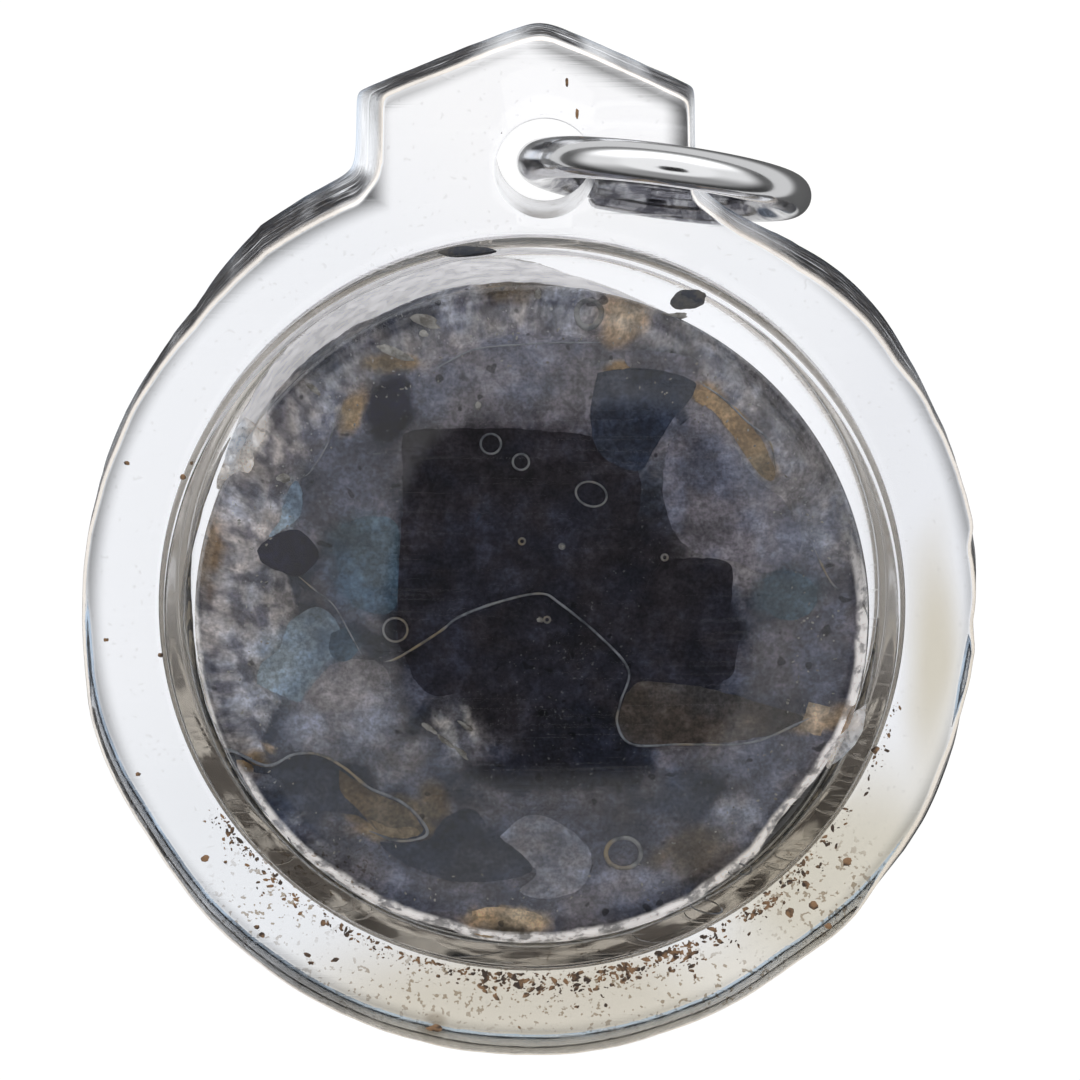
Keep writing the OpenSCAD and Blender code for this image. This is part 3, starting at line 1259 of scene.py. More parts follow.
@dataclass
class Wax:
    """The wax cake that fills the pocket. Lengths are in millimetres."""

    case: Case
    radius: float = 13.0
    floor: float = 1.1
    segments: int = 480
    rings: int = 118
    edge_round: float = 1.0
    touch_gap: float = 0.17
    pulls: tuple[tuple[float, float, float], ...] = (
        (38, 30, 0.55), (122, 34, -0.28), (262, 46, 0.2), (322, 16, 0.35),
    )
    sink: float = 0.4
    taper: float = 2.4
    taper_from: float = 6.4
    full_side: tuple[float, float] = (122.0, 48.0)
    outline: list[tuple[float, float]] = field(default_factory=lambda: Contact().table())
    inset: float = 0.06
    edge_turns: tuple[float, ...] = (15, 30, 45, 60, 75, 90)
    levels: tuple[float, ...] = (7.6, 7.0, 6.4, 5.8, 5.2, 4.6, 4.0, 3.4, 2.8, 2.2, 1.7, 1.3)
    floor_shares: tuple[float, ...] = (0.85, 0.6, 0.3, 0.05)

    def touching(self, angle: float) -> float:
        """How far the wax touches the case's face in a direction in radians."""
        angle %= math.tau
        after = bisect.bisect_left(self.outline, (angle, 0.0))
        before = self.outline[after - 1]
        ahead = self.outline[after % len(self.outline)]
        gap = (ahead[0] - before[0]) % math.tau
        share = ((angle - before[0]) % math.tau) / gap
        ragged = 0.22 * noise.noise(polar(angle, 9.0, 3.1)) + 0.1 * noise.noise(polar(angle, 30.0, 5.2))
        return before[1] + (ahead[1] - before[1]) * share + ragged

    def reach(self, angle: float) -> float:
        """The reach of the wax's edge in a direction in radians."""
        base = self.radius
        for middle, width, depth in self.pulls:
            base -= depth * math.exp(-((past_of(math.degrees(angle), middle) / width) ** 2))
        ragged = 0.1 * noise.noise(polar(angle, 6.0, 0.3)) + 0.05 * noise.noise(polar(angle, 21.0, 0.7))
        return base + ragged - self.inset

    def low_reach(self, angle: float, height: float) -> float:
        """The reach of the wax's side, which draws in towards its foot but on its full side."""
        share = min(max((self.taper_from - height) / (self.taper_from - self.floor), 0.0), 1.0)
        away = past_of(math.degrees(angle), self.full_side[0])
        drawn = 1 - 0.92 * math.exp(-((away / self.full_side[1]) ** 4))
        return self.reach(angle) - self.taper * drawn * share**1.6

    def top(self, angle: float, reach: float) -> float:
        """The height of the wax's upper face."""
        here = polar(angle, reach, 0.0)
        dry = eased(reach - self.touching(angle), -0.1, 0.2)
        relief = abs(noise.noise(here * 0.7)) * 0.12 + abs(noise.noise(here * 2.3)) * 0.08
        grain = abs(noise.noise(here * 5.1)) * 0.09
        gap = self.touch_gap + dry * (0.12 + relief + grain + self.sink * eased(reach, 9.0, 12.6) ** 2)
        return self.case.ceiling(reach) - gap - 0.02 * abs(noise.noise(here * 1.4)) * (1 - dry)

    def tone(self, spot: Vector, past: float, patches: list[LaidPatch]) -> Vector:
        """The wax's colour at a place.

        Args:
            spot: the place.
            past: how far it lies past the outline of the wax that touches the case.
            patches: the patches, from the lowest to the topmost.

        Returns:
            The linear colour.
        """
        slate, stone, grey, rime = (
            Vector(tone.albedo(540, 900)) for tone in (Tone.SLATE, Tone.STONE, Tone.GREY, Tone.RIME)
        )
        colour = slate.lerp(stone, eased(noise.fractal(spot * 0.6, 1.0, 2.0, 3), -0.4, 0.4))
        rim = grey.lerp(rime, eased(noise.fractal(spot * 1.6, 1.0, 2.0, 3), -0.4, 0.4))
        colour = colour.lerp(rim, eased(past, -0.06, 0.12))
        slow = noise.noise_vector(spot * 0.5 + Vector((3.1, 7.7, 1.3)))
        fast = noise.noise_vector(spot * 2.1) + noise.noise_vector(spot * 5.3) * 0.5
        loose = spot + slow * 0.55 + fast * 0.17
        for patch in patches:
            colour = patch.over(loose, colour)
        return colour

    def build(self) -> None:
        """Makes the cake."""
        skin = Skin(self.segments)
        skin.start(self.top(0.0, 0.0))
        for i in range(1, self.rings + 1):
            share = i / self.rings

            def place(angle: float, share: float = share) -> tuple[float, float]:
                """A point of one ring of the wax's upper face."""
                reach = max((self.reach(angle) - self.edge_round) * share, 0.06)
                return reach, self.top(angle, reach)

            skin.grow(place)
        for turn in self.edge_turns:
            a = math.radians(turn)
            skin.grow(lambda angle, a=a: (
                self.reach(angle) - self.edge_round * (1 - math.sin(a)),
                self.top(angle, self.reach(angle) - self.edge_round) - self.edge_round * (1 - math.cos(a)),
            ))
        for height in (*self.levels, self.floor):
            skin.grow(lambda angle, height=height: (self.low_reach(angle, height), height))
        for share in self.floor_shares:
            skin.grow(lambda angle, share=share: (self.low_reach(angle, self.floor) * share, self.floor))
        mesh = skin.finish(self.floor)
        past = mesh.verts.layers.float.new(DarkWax.past)
        over = mesh.verts.layers.float.new(DarkWax.over)
        tones = mesh.verts.layers.float_color.new(DarkWax.tones)
        patches = [patch.laid(Contact.height) for patch in PATCHES]
        for vertex in mesh.verts:
            angle = math.atan2(vertex.co.y, vertex.co.x)
            vertex[past] = vertex.co.xy.length - self.touching(angle)
            vertex[tones] = (*self.tone(vertex.co, vertex[past], patches), 1.0)
            inner = self.reach(angle) - self.edge_round
            foot = self.top(angle, inner) - self.edge_round
            rounded = min(max((vertex.co.xy.length - inner) / self.edge_round, 0.0), 1.0)
            vertex[over] = 1 + foot - vertex.co.z if vertex.co.z < foot else rounded
        piece(mesh, "wax_cake", [DarkWax().material()], replaces="wax_disc")


PATCHES = (
    Patch(545, 400, 165, 64, Tone.STONE),
    Patch(735, 505, 90, 90, Tone.ASH),
    Patch(800, 640, 70, 80, Tone.GREY),
    Patch(350, 490, 48, 55, Tone.GREY, 0, 0.5),
    Patch(545, 860, 190, 60, Tone.GREY),
    Patch(740, 770, 70, 50, Tone.STONE),
    Patch(340, 720, 55, 55, Tone.ASH),
    # Partly painted reflection: these soot and ink patches in the middle are dark wax where it touches the
    # case, deepened by the painted reflection of the dark place overhead.
    Patch(550, 600, 150, 165, Tone.SOOT, 0, 0.2),
    Patch(500, 480, 105, 50, Tone.SOOT, 0, 0.25),
    Patch(490, 545, 95, 30, Tone.INK, 0, 0.6, 0.7),
    Patch(640, 490, 40, 30, Tone.INK, 0, 0.6, 0.6),
    Patch(685, 630, 52, 68, Tone.SOOT, 0, 0.12),
    Patch(585, 735, 65, 32, Tone.BLACK, 0, 0.3),
    Patch(560, 770, 90, 26, Tone.BLACK, 0, 0.3),
    Patch(690, 795, 40, 30, Tone.SLATE),
    Patch(570, 405, 62, 12, Tone.STONE, 4, 0.5, 0.8),
    Patch(455, 735, 26, 30, Tone.ASH, 20, 0.5, 0.5),
    Patch(740, 815, 24, 14, Tone.ASH),
    Patch(400, 760, 30, 16, Tone.ASH, 40),
    Patch(365, 560, 34, 48, Tone.TEAL, 0, 0.35),
    Patch(300, 660, 45, 32, Tone.MIST, 35, 0.5, 0.8),
    Patch(345, 645, 18, 18, Tone.TEAL, 0, 0.5, 0.8),
    Patch(785, 595, 30, 24, Tone.TEAL),
    Patch(675, 325, 18, 14, Tone.TEAL, 0, 0.4, 0.8),
    Patch(640, 365, 42, 10, Tone.MIST, 0, 0.5, 0.6),
    Patch(292, 510, 9, 24, Tone.MIST, 0, 0.5, 0.8),
    Patch(400, 330, 42, 12, Tone.SLATE, 10, 0.5, 0.7),
    Patch(392, 410, 24, 30, Tone.INK, 0, 0.3),
    Patch(283, 555, 20, 15, Tone.SLATE),
    Patch(320, 365, 25, 20, Tone.SLATE, 0, 0.4, 0.7),
    Patch(455, 845, 62, 30, Tone.SLATE),
    Patch(670, 408, 38, 7, Tone.SLATE, -58, 0.5, 0.8),
    Patch(355, 415, 10, 26, Tone.OCHRE, -25),
    Patch(395, 368, 28, 10, Tone.OCHRE),
    Patch(705, 398, 15, 9, Tone.OCHRE),
    Patch(735, 425, 19, 11, Tone.OCHRE, -45),
    Patch(760, 458, 14, 22, Tone.TAN, 25),
    Patch(625, 325, 24, 17, Tone.TAN),
    Patch(620, 370, 19, 12, Tone.OCHRE),
    Patch(760, 390, 32, 9, Tone.TAN, -45),
    Patch(848, 540, 8, 30, Tone.TAN, 14, 0.5, 0.8),
    Patch(510, 305, 32, 9, Tone.UMBER, 0, 0.5),
    Patch(430, 290, 19, 8, Tone.TAN),
    Patch(215, 550, 12, 42, Tone.OCHRE, 0, 0.5, 0.8),
    Patch(820, 720, 32, 11, Tone.TAN, 20),
    Patch(665, 715, 50, 28, Tone.BROWN, 0, 0.15),
    Patch(505, 915, 36, 11, Tone.CREAM),
    Patch(500, 932, 42, 8, Tone.UMBER),
    Patch(690, 860, 48, 26, Tone.UMBER, 30, 0.4, 0.8),
    Patch(640, 885, 40, 20, Tone.STONE, 0, 0.5),
    Patch(250, 768, 13, 13, Tone.OCHRE, 0, 0.3),
    Patch(390, 815, 42, 23, Tone.UMBER, -25, 0.3),
    Patch(395, 832, 36, 9, Tone.OCHRE),
    Patch(345, 780, 30, 20, Tone.SLATE, 0, 0.3),
    Patch(300, 790, 40, 30, Tone.SLATE),
    Patch(268, 752, 9, 6, Tone.TAN),
    Patch(430, 800, 20, 20, Tone.UMBER),
    Patch(245, 445, 46, 20, Tone.CHALK, 60, 0.25),
    Patch(450, 737, 5, 22, Tone.CHALK, 30, 0.6, 0.6),
    Patch(468, 722, 4, 16, Tone.CHALK, 24, 0.6, 0.6),
    Patch(660, 683, 9, 9, Tone.BLACK, 0, 0.3),
    Patch(648, 724, 6, 6, Tone.BLACK, 0, 0.3),
    Patch(705, 716, 9, 9, Tone.BLACK, 0, 0.3),
    Patch(745, 728, 7, 7, Tone.BLACK, 0, 0.3),
)


def clouded(sheet: Sheet, where: object, colour: object) -> Socket:
    """Makes a wax colour lighter and darker, warmer and cooler from place to place.

    Args:
        sheet: the nodes to add to.
        where: the coordinates.
        colour: the even colour.

    Returns:
        The colour with clouds, wisps and grain.
    """
    waves = {"Vector": where, "Scale": 0.42, "Detail": 3.0, "Roughness": 0.6}
    push = sheet.node("ShaderNodeTexNoise", None, waves)
    shade = sheet.signal(push, "Fac").step(0.32, 0.68, 0.68, 1.42)
    wisps = sheet.noise(where, 1.2, 4.0, 0.7)
    shade = shade * wisps.step(0.4, 0.68, 0.8, 1.45)
    shade = shade * sheet.noise(where, 5.7, 1.0, 0.7).step(0.25, 0.75, 0.72, 1.28)
    tones = sheet.node("ShaderNodeSeparateColor", None, {0: push.outputs["Color"]})
    hue = sheet.signal(tones, "Blue").step(0.36, 0.64)
    tint = sheet.blend(hue, (0.93, 0.99, 1.07), (1.09, 1.0, 0.9))
    grey = sheet.node("ShaderNodeCombineColor", None, {0: shade, 1: shade, 2: shade}).outputs[0]
    return sheet.blend(1.0, sheet.blend(1.0, colour, tint, "MULTIPLY"), grey, "MULTIPLY")


@dataclass(frozen=True)
class DarkWax(Finish):
    """Grey-black wax: smooth and dark where it touches the case, grainy and paler where it doesn't. A pale
    line of painted light with a painted glow runs along its rim, its side is painted near black towards -Y
    and pale with a glow towards +Y, and its underside carries painted light and shade.
    """

    past = "past"
    over = "over"
    tones = "tones"
    name: str = "dark_wax"

    def paint(self, sheet: Sheet) -> Socket:
        """Adds the nodes."""
        where = sheet.places()
        dry = Signal(sheet, sheet.attribute(self.past, "Fac")).step(-0.06, 0.12)
        coarse = sheet.noise(where, 1.5, 3.0, 0.66)
        colour = clouded(sheet, where, sheet.attribute(self.tones, "Color"))
        specks = sheet.noise(where, 1.5, 1.0, 0.5).step(0.7, 0.74)
        colour = sheet.blend(specks * 0.7, colour, (0.004, 0.004, 0.006))
        flecks = sheet.noise(where, 6.5, 1.0, 0.5).step(0.7, 0.74) * (dry * 0.6 + 0.2)
        colour = sheet.blend(flecks, colour, (0.5, 0.5, 0.5))
        over = Signal(sheet, sheet.attribute(self.over, "Fac"))
        lower = sheet.along(where, "Y").step(5.0, -1.0)
        # Painted light: a pale line along the wax's rounded rim, strongest towards -Y, standing in for
        # light that comes through the gap beside the wax.
        pale = over.step(0.78, 0.95) * over.step(1.22, 1.05) * coarse.step(0.36, 0.58, 0.2, 1.0)
        pale = pale * (lower * 0.85 + 0.15)
        colour = sheet.blend(pale, colour, (0.86, 0.82, 0.78))
        # Painted shade and light on the wax's side: near black towards -Y, where it lies in shade, and pale
        # towards +Y, where light falls on it.
        side = (over - (1.0 - lower) * 0.8).step(1.05, 1.3)
        colour = sheet.blend(side * (lower * 0.9), colour, (0.02, 0.017, 0.014))
        upper = sheet.blend(coarse.step(0.4, 0.62), (0.7, 0.71, 0.75), (0.93, 0.94, 0.98))
        colour = sheet.blend(side * (1.0 - lower), colour, upper)
        colour = self.underside(sheet, where, colour)
        # Painted glow: the pale rim line and the side towards +Y give out light through emission, though
        # the wax is no lamp.
        glow = pale * (lower * 0.8 + 0.2) + side * coarse.step(0.35, 0.65, 0.34, 0.56) * (1.0 - lower)
        return sheet.principled({
            "Base Color": colour,
            "Emission Color": sheet.blend(glow, UNLIT, (0.6, 0.57, 0.55)),
            "Emission Strength": 1.0,
            "Roughness": dry * 0.2 + coarse * 0.1 + 0.4,
            "IOR": 1.45,
            "Specular IOR Level": 0.15,
            "Normal": sheet.bump(coarse * (dry * 0.85 + 0.15), 0.05),
        })

    def underside(self, sheet: Sheet, where: object, colour: object) -> Socket:
        """Lays rings over the wax's underside: pale streaked tones and a near-white line that are painted
        light, for the bright band that shows at the wax's rim, a near-black outer ring of painted shade,
        and brown oil streaks towards -Y.

        Args:
            sheet: the nodes to add to.
            where: the coordinates.
            colour: the colour elsewhere.

        Returns:
            The colour with the underside's rings.
        """
        flat = sheet.node("ShaderNodeVectorMath", {"operation": "MULTIPLY"}, {0: where, 1: (1.0, 1.0, 0.0)})
        reach = sheet.reach(flat.outputs[0])
        across, along, height = (sheet.along(where, axis) for axis in "XYZ")
        bent = reach + (sheet.noise(where, 0.4, 1.0) - 0.5) * 0.8
        rings = sheet.node("ShaderNodeCombineXYZ", None, {0: across * 0.2, 1: along * 0.2, 2: reach * 2.0})
        streaks = sheet.noise(rings.outputs[0], 2.2, 2.0, 0.6)
        oily = along.step(3.0, -5.0)
        # Painted light: pale streaked tones that show through the tray as a bright band.
        tone = sheet.blend(streaks.step(0.42, 0.56), (0.9, 0.86, 0.8), (0.3, 0.27, 0.23))
        oil = sheet.blend(streaks.step(0.44, 0.55), (0.14, 0.115, 0.09), (0.86, 0.78, 0.66))
        tone = sheet.blend(oily, tone, oil)
        # Painted shade at the outer ring, and a painted near-white line inside it.
        tone = sheet.blend(bent.step(10.42, 10.5), tone, (0.02, 0.018, 0.016))
        line = bent.step(9.2, 9.3) * bent.step(9.5, 9.4)
        tone = sheet.blend(line, tone, (0.95, 0.93, 0.9))
        return sheet.blend(height.step(1.9, 1.2), colour, tone)


# Fine pieces between the wax and the case


@dataclass(frozen=True)
class Station:
    """One cross-section of a swept form: its middle and its two half axes."""

    middle: Vector
    across: Vector
    up: Vector


def sweep(mesh: Form, stations: list[Station], sides: int) -> None:
    """Sweeps an oval along stations and closes both ends.

    Args:
        mesh: the bmesh that the form is added to.
        stations: the cross-sections in order.
        sides: how many sides the oval has.
    """
    turn = mesh.verts.layers.float.get("turn") or mesh.verts.layers.float.new("turn")
    made = bmesh.ops.create_circle(mesh, cap_ends=True, cap_tris=False, segments=sides, radius=1.0)
    ring = made["verts"]
    for vertex in ring:
        vertex[turn] = math.atan2(vertex.co.y, vertex.co.x)
    edges = list({edge for vertex in ring for edge in vertex.link_edges})
    for i, station in enumerate(stations):
        if i:
            grown = bmesh.ops.extrude_edge_only(mesh, edges=edges)["geom"]
            ring = [g for g in grown if isinstance(g, bmesh.types.BMVert)]
            edges = [g for g in grown if isinstance(g, bmesh.types.BMEdge) and len(g.link_faces) == 1]
        for vertex in ring:
            across, up = math.cos(vertex[turn]), math.sin(vertex[turn])
            vertex.co = station.middle + station.across * across + station.up * up
    bmesh.ops.contextual_create(mesh, geom=edges)


def curved(points: list[Vector], step: float) -> list[Vector]:
    """Points spaced along a smooth curve through others.

    Args:
        points: the points that the curve goes through.
        step: the spacing in millimetres.

    Returns:
        The new points.
    """
    ends = [points[0] * 2 - points[1], *points, points[-1] * 2 - points[-2]]
    found = []
    for a, b, c, d in zip(ends, ends[1:], ends[2:], ends[3:]):
        count = max(int((c - b).length / step), 1)
        for i in range(count):
            t = i / count
            bend, twist = a * 2 - b * 5 + c * 4 - d, b * 3 - a - c * 3 + d
            found.append((b * 2 + (c - a) * t + bend * t**2 + twist * t**3) / 2)
    return [*found, points[-1]]


@dataclass(frozen=True)
class Plate:
    """A flat piece of wax with a clear outline, in the photograph's pixels."""

    tone: Tone
    points: tuple[tuple[float, float], ...]


@dataclass
class WaxPlates:
    """The thin pieces of wax that were pressed flat under the case's face; the two dark ones in the middle
    also carry painted reflection. Millimetres.
    """

    case: Case
    depth: float = 0.06
    thick: float = 0.03
    overlap: float = 0.004
    ragged: float = 0.05
    spacing: float = 0.14
    long_edge: float = 0.7
    plates: tuple[Plate, ...] = (
        # Partly painted reflection: the two dark plates in the middle are dark wax, and their deep tone and
        # crisp left and right edges are painted reflection of the dark place overhead.
        Plate(Tone.SOOT, (
            (560, 600), (510, 655), (460, 690), (425, 690), (404, 652), (398, 628), (400, 560), (403, 510),
            (403, 470), (403, 440), (412, 431), (470, 428), (540, 430), (600, 440), (640, 480), (620, 560),
        )),
        Plate(Tone.SOOT, (
            (660, 560), (690, 557), (728, 562), (731, 590), (727, 628), (738, 635), (736, 654), (728, 676),
            (700, 686), (650, 684), (632, 660), (640, 600),
        )),
        Plate(Tone.ASH, (
            (330, 665), (355, 658), (384, 664), (392, 690), (384, 716), (372, 733), (345, 757), (318, 750),
            (294, 747), (300, 715), (312, 686),
        )),
        Plate(Tone.MIST, (
            (258, 682), (262, 664), (282, 645), (290, 622), (318, 606), (338, 622), (342, 640), (330, 658),
            (312, 678), (302, 700), (282, 694),
        )),
        Plate(Tone.TEAL, ((332, 632), (350, 627), (359, 644), (353, 657), (338, 659), (330, 648))),
        Plate(Tone.INK, (
            (258, 549), (272, 536), (298, 529), (316, 545), (318, 560), (300, 575), (280, 570), (264, 562),
        )),
        Plate(Tone.MIST, (
            (284, 506), (296, 480), (303, 492), (301, 514), (288, 527), (270, 536), (281, 520),
        )),
        Plate(Tone.SLATE, (
            (229, 753), (245, 746), (262, 763), (280, 763), (300, 753), (325, 754), (350, 771), (375, 788),
            (400, 800), (419, 815), (425, 831), (405, 837), (382, 831), (362, 815), (330, 810), (306, 808),
            (297, 824), (288, 815), (272, 800), (252, 780),
        )),
        Plate(Tone.UMBER, (
            (340, 768), (372, 788), (400, 801), (418, 816), (423, 829), (404, 835), (380, 829), (358, 806),
            (342, 790),
        )),
        Plate(Tone.OCHRE, ((372, 818), (392, 826), (412, 824), (420, 831), (404, 836), (382, 832))),
        Plate(Tone.SLATE, (
            (430, 838), (446, 816), (470, 806), (484, 818), (490, 838), (516, 848), (532, 868), (500, 878),
            (450, 878), (408, 862), (380, 840), (405, 842),
        )),
        Plate(Tone.BROWN, (
            (626, 692), (642, 680), (700, 686), (755, 700), (802, 716), (786, 728), (745, 738), (690, 742),
            (640, 742), (622, 734), (619, 714),
        )),
        Plate(Tone.OCHRE, (
            (692, 388), (716, 396), (740, 413), (760, 440), (774, 468), (769, 480), (752, 466), (732, 436),
            (714, 412), (696, 401),
        )),
        Plate(Tone.STONE, (
            (622, 350), (650, 352), (690, 360), (697, 372), (686, 384), (650, 372), (628, 366),
        )),
        Plate(Tone.CREAM, ((472, 908), (500, 904), (536, 910), (540, 918), (505, 922), (476, 920))),
        Plate(Tone.SLATE, (
            (597, 372), (640, 368), (688, 378), (694, 392), (672, 420), (655, 446), (638, 470), (602, 455),
            (590, 420),
        )),
        Plate(Tone.STONE, (
            (704, 404), (722, 424), (748, 470), (786, 505), (800, 545), (768, 572), (738, 562), (690, 548),
            (669, 520), (662, 472), (674, 434),
        )),
        Plate(Tone.TEAL, (
            (342, 524), (368, 516), (397, 522), (398, 560), (396, 606), (372, 612), (350, 598), (338, 562),
        )),
        Plate(Tone.TEAL, ((762, 578), (788, 570), (812, 582), (814, 604), (796, 618), (770, 612))),
        Plate(Tone.ASH, (
            (500, 834), (530, 812), (562, 822), (590, 850), (582, 884), (548, 896), (520, 888), (536, 868),
        )),
        Plate(Tone.CHALK, (
            (246, 418), (258, 426), (262, 446), (258, 470), (244, 478), (222, 490), (218, 482), (228, 452),
            (236, 430),
        )),
        Plate(Tone.TAN, ((808, 700), (832, 704), (850, 702), (846, 718), (822, 732), (802, 724))),
        Plate(Tone.CHALK, (
            (866, 704), (862, 730), (848, 752), (828, 764), (816, 760), (822, 744), (828, 730), (846, 716),
        )),
    )

    def outline(self, plate: Plate) -> list[Vector]:
        """A plate's ragged outline just under the case's face."""
        corners = [EYE.onto(*point, self.case.ceiling) for point in plate.points]
        return [
            spot + self.ragged * (noise.noise_vector(spot * 2.3) + 0.6 * noise.noise_vector(spot * 7.1))
            for spot in curved([*corners, corners[0]], self.spacing)[:-1]
        ]

    def sheet_of(self, plate: Plate, lift: float) -> bpy.types.Mesh:
        """Makes one plate.

        Args:
            plate: its outline and tone.
            lift: how far it lies under the case's face.

        Returns:
            Its mesh in millimetres.
        """
        mesh = bmesh.new()
        rim = [mesh.verts.new((spot.x, spot.y, 0.0)) for spot in self.outline(plate)]
        bmesh.ops.triangulate(mesh, faces=[mesh.faces.new(rim)])
        shared = [edge for edge in mesh.edges if len(edge.link_faces) == 2]
        inner = [edge for edge in shared if edge.calc_length() > self.long_edge]
        bmesh.ops.subdivide_edges(mesh, edges=inner, cuts=3)
        bmesh.ops.triangulate(mesh, faces=mesh.faces)
        for vertex in mesh.verts:
            vertex.co.z = self.case.ceiling(vertex.co.xy.length) - lift
        down = bmesh.ops.extrude_face_region(mesh, geom=mesh.faces[:], use_keep_orig=True)["geom"]
        lower = [g for g in down if isinstance(g, bmesh.types.BMVert)]
        bmesh.ops.translate(mesh, verts=lower, vec=(0, 0, -self.thick))
        tones = mesh.loops.layers.float_color.new(WaxPlate.tones)
        colour = (*plate.tone.albedo(*plate.points[0]), 1.0)
        for face in mesh.faces:
            for loop in face.loops:
                loop[tones] = colour
        return meshed(mesh, "plate")

    def build(self) -> None:
        """Makes the plates as one piece, each with its own tone."""
        mesh = bmesh.new()
        for level, plate in enumerate(self.plates):
            made = self.sheet_of(plate, self.depth + self.overlap * (len(self.plates) - level))
            mesh.from_mesh(made)
            bpy.data.meshes.remove(made)
        piece(mesh, "wax_plates", [WaxPlate().material()])


@dataclass(frozen=True)
class WaxPlate(Finish):
    """Smooth wax in the tone of each plate, with fine grain."""

    tones = "tones"
    name: str = "wax_plate"

    def paint(self, sheet: Sheet) -> Socket:
        """Adds the nodes."""
        where = sheet.places()
        return sheet.principled({
            "Base Color": clouded(sheet, where, sheet.attribute(self.tones, "Color")),
            "Roughness": sheet.noise(where, 0.9, 2.0, 0.6) * 0.2 + 0.35,
            "IOR": 1.45,
            "Specular IOR Level": 0.15,
            "Normal": sheet.bump(sheet.noise(where, 5.5, 1.0, 0.7), 0.02),
        })


@dataclass(frozen=True)
class Thread:
    """A thin line where an air gap under the case's face ends, on the photograph. Its pale grey is painted
    highlight.
    """

    points: tuple[tuple[float, float], ...]
    radius: float = 0.06
    closed: bool = False


@dataclass(frozen=True)
class BubbleOrGlint:
    """A round or oval bubble under the case's face, on the photograph, whose rim is painted pale as a
    highlight. Some tiny ones are painted glints with no bubble under them.
    """

    px: float
    py: float
    size: float
    stretch: float = 1.0
    turn: float = 0.0
    rim: float = 0.045


@dataclass
class AirGaps:
    """The lines and bubbles where the wax leaves the case's face, with painted highlights along them, and
    tiny rings that are painted glints. Lengths are in millimetres.
    """

    case: Case
    depth: float = 0.05
    spacing: float = 0.12
    sides: int = 8
    bubble_steps: int = 32
    threads: tuple[Thread, ...] = (
        Thread((
            (385, 660), (400, 655), (440, 630), (460, 615), (500, 600), (540, 592), (560, 602), (600, 635),
            (628, 668), (620, 700), (617, 722), (632, 742), (680, 742), (750, 740), (808, 716),
        ), 0.055),
        Thread((
            (228, 750), (240, 743), (262, 760), (275, 762), (295, 752), (320, 752), (345, 765), (370, 785),
            (400, 798), (420, 815), (427, 832), (400, 838), (370, 828),
        ), 0.06),
        Thread((
            (300, 815), (298, 825), (305, 840), (320, 855), (345, 872), (360, 885), (395, 902), (430, 915),
            (465, 930), (500, 935),
        ), 0.05),
        Thread(((430, 372), (455, 358), (480, 348), (540, 343), (600, 342)), 0.04),
        Thread(((700, 383), (722, 398), (746, 421), (768, 441), (775, 470)), 0.04),
        Thread(((300, 478), (312, 470), (330, 440), (336, 418)), 0.035),
        Thread(((300, 575), (318, 590), (335, 604), (350, 630), (362, 652)), 0.035),
        Thread(((812, 545), (830, 582), (850, 602), (862, 642), (860, 690)), 0.04),
    )
    bubbles_and_glints: tuple[BubbleOrGlint, ...] = (
        BubbleOrGlint(588, 317, 12, 1.0, 0, 0.11),
        BubbleOrGlint(491, 443, 10),
        BubbleOrGlint(521, 461, 8),
        BubbleOrGlint(591, 493, 12, 1.3, 20),
        BubbleOrGlint(396, 628, 12),
        BubbleOrGlint(623, 850, 16, 1.1, 0, 0.09),
        BubbleOrGlint(735, 862, 8, 2.2, 30),
        BubbleOrGlint(705, 905, 7, 2.6, 20),
        # Painted highlights: the tiny rings at 478, 405; 522, 540; 562, 545 and 547, 618 are glints of
        # lamps on the case's face, with no bubble there.
        BubbleOrGlint(478, 405, 3),
        BubbleOrGlint(522, 540, 3),
        BubbleOrGlint(562, 545, 2.5),
        BubbleOrGlint(547, 618, 3),
        BubbleOrGlint(664, 556, 3),
    )

    def line(self, mesh: Form, points: list[Vector], radius: float) -> None:
        """Sweeps a thin line whose width changes along it and whose ends are fine."""
        path = curved(points, self.spacing)
        stations = []
        for i, point in enumerate(path):
            ahead = path[min(i + 1, len(path) - 1)] - path[max(i - 1, 0)]
            side = Vector((-ahead.y, ahead.x, 0.0)).normalized()
            ends = min(1.0, 0.25 + min(i, len(path) - 1 - i) * 0.15)
            wide = radius * ends * (0.8 + 0.5 * abs(noise.noise(point * 1.7)))
            stations.append(Station(point, side * wide, Vector((0, 0, wide * 0.5))))
        sweep(mesh, stations, self.sides)

    def build(self) -> None:
        """Makes the lines, the bubbles and the painted glints."""
        lines = bmesh.new()
        for thread in self.threads:
            points = [self.case.under(*point, self.depth) for point in thread.points]
            self.line(lines, points, thread.radius)
        piece(lines, "air_gap_lines", [AirLine().material()])
        rounds = bmesh.new()
        for bubble_or_glint in self.bubbles_and_glints:
            middle = self.case.under(bubble_or_glint.px, bubble_or_glint.py, self.depth)
            place = Matrix.Translation(middle) @ Matrix.Rotation(math.radians(-bubble_or_glint.turn), 4, "Z")
            size = bubble_or_glint.size * EYE.step
            stations = []
            for i in range(self.bubble_steps + 1):
                a = math.tau * i / self.bubble_steps
                out = Vector((math.cos(a) * bubble_or_glint.stretch, math.sin(a), 0.0))
                rim = min(bubble_or_glint.rim, size * 0.45)
                across = (place.to_3x3() @ out).normalized() * rim
                stations.append(Station(place @ (out * size), across, Vector((0, 0, rim * 0.45))))
            sweep(rounds, stations, self.sides)
        piece(rounds, "bubble_rims_and_glints", [AirLine("bubble_rim_and_glint", (0.34, 0.34, 0.34)).material()])


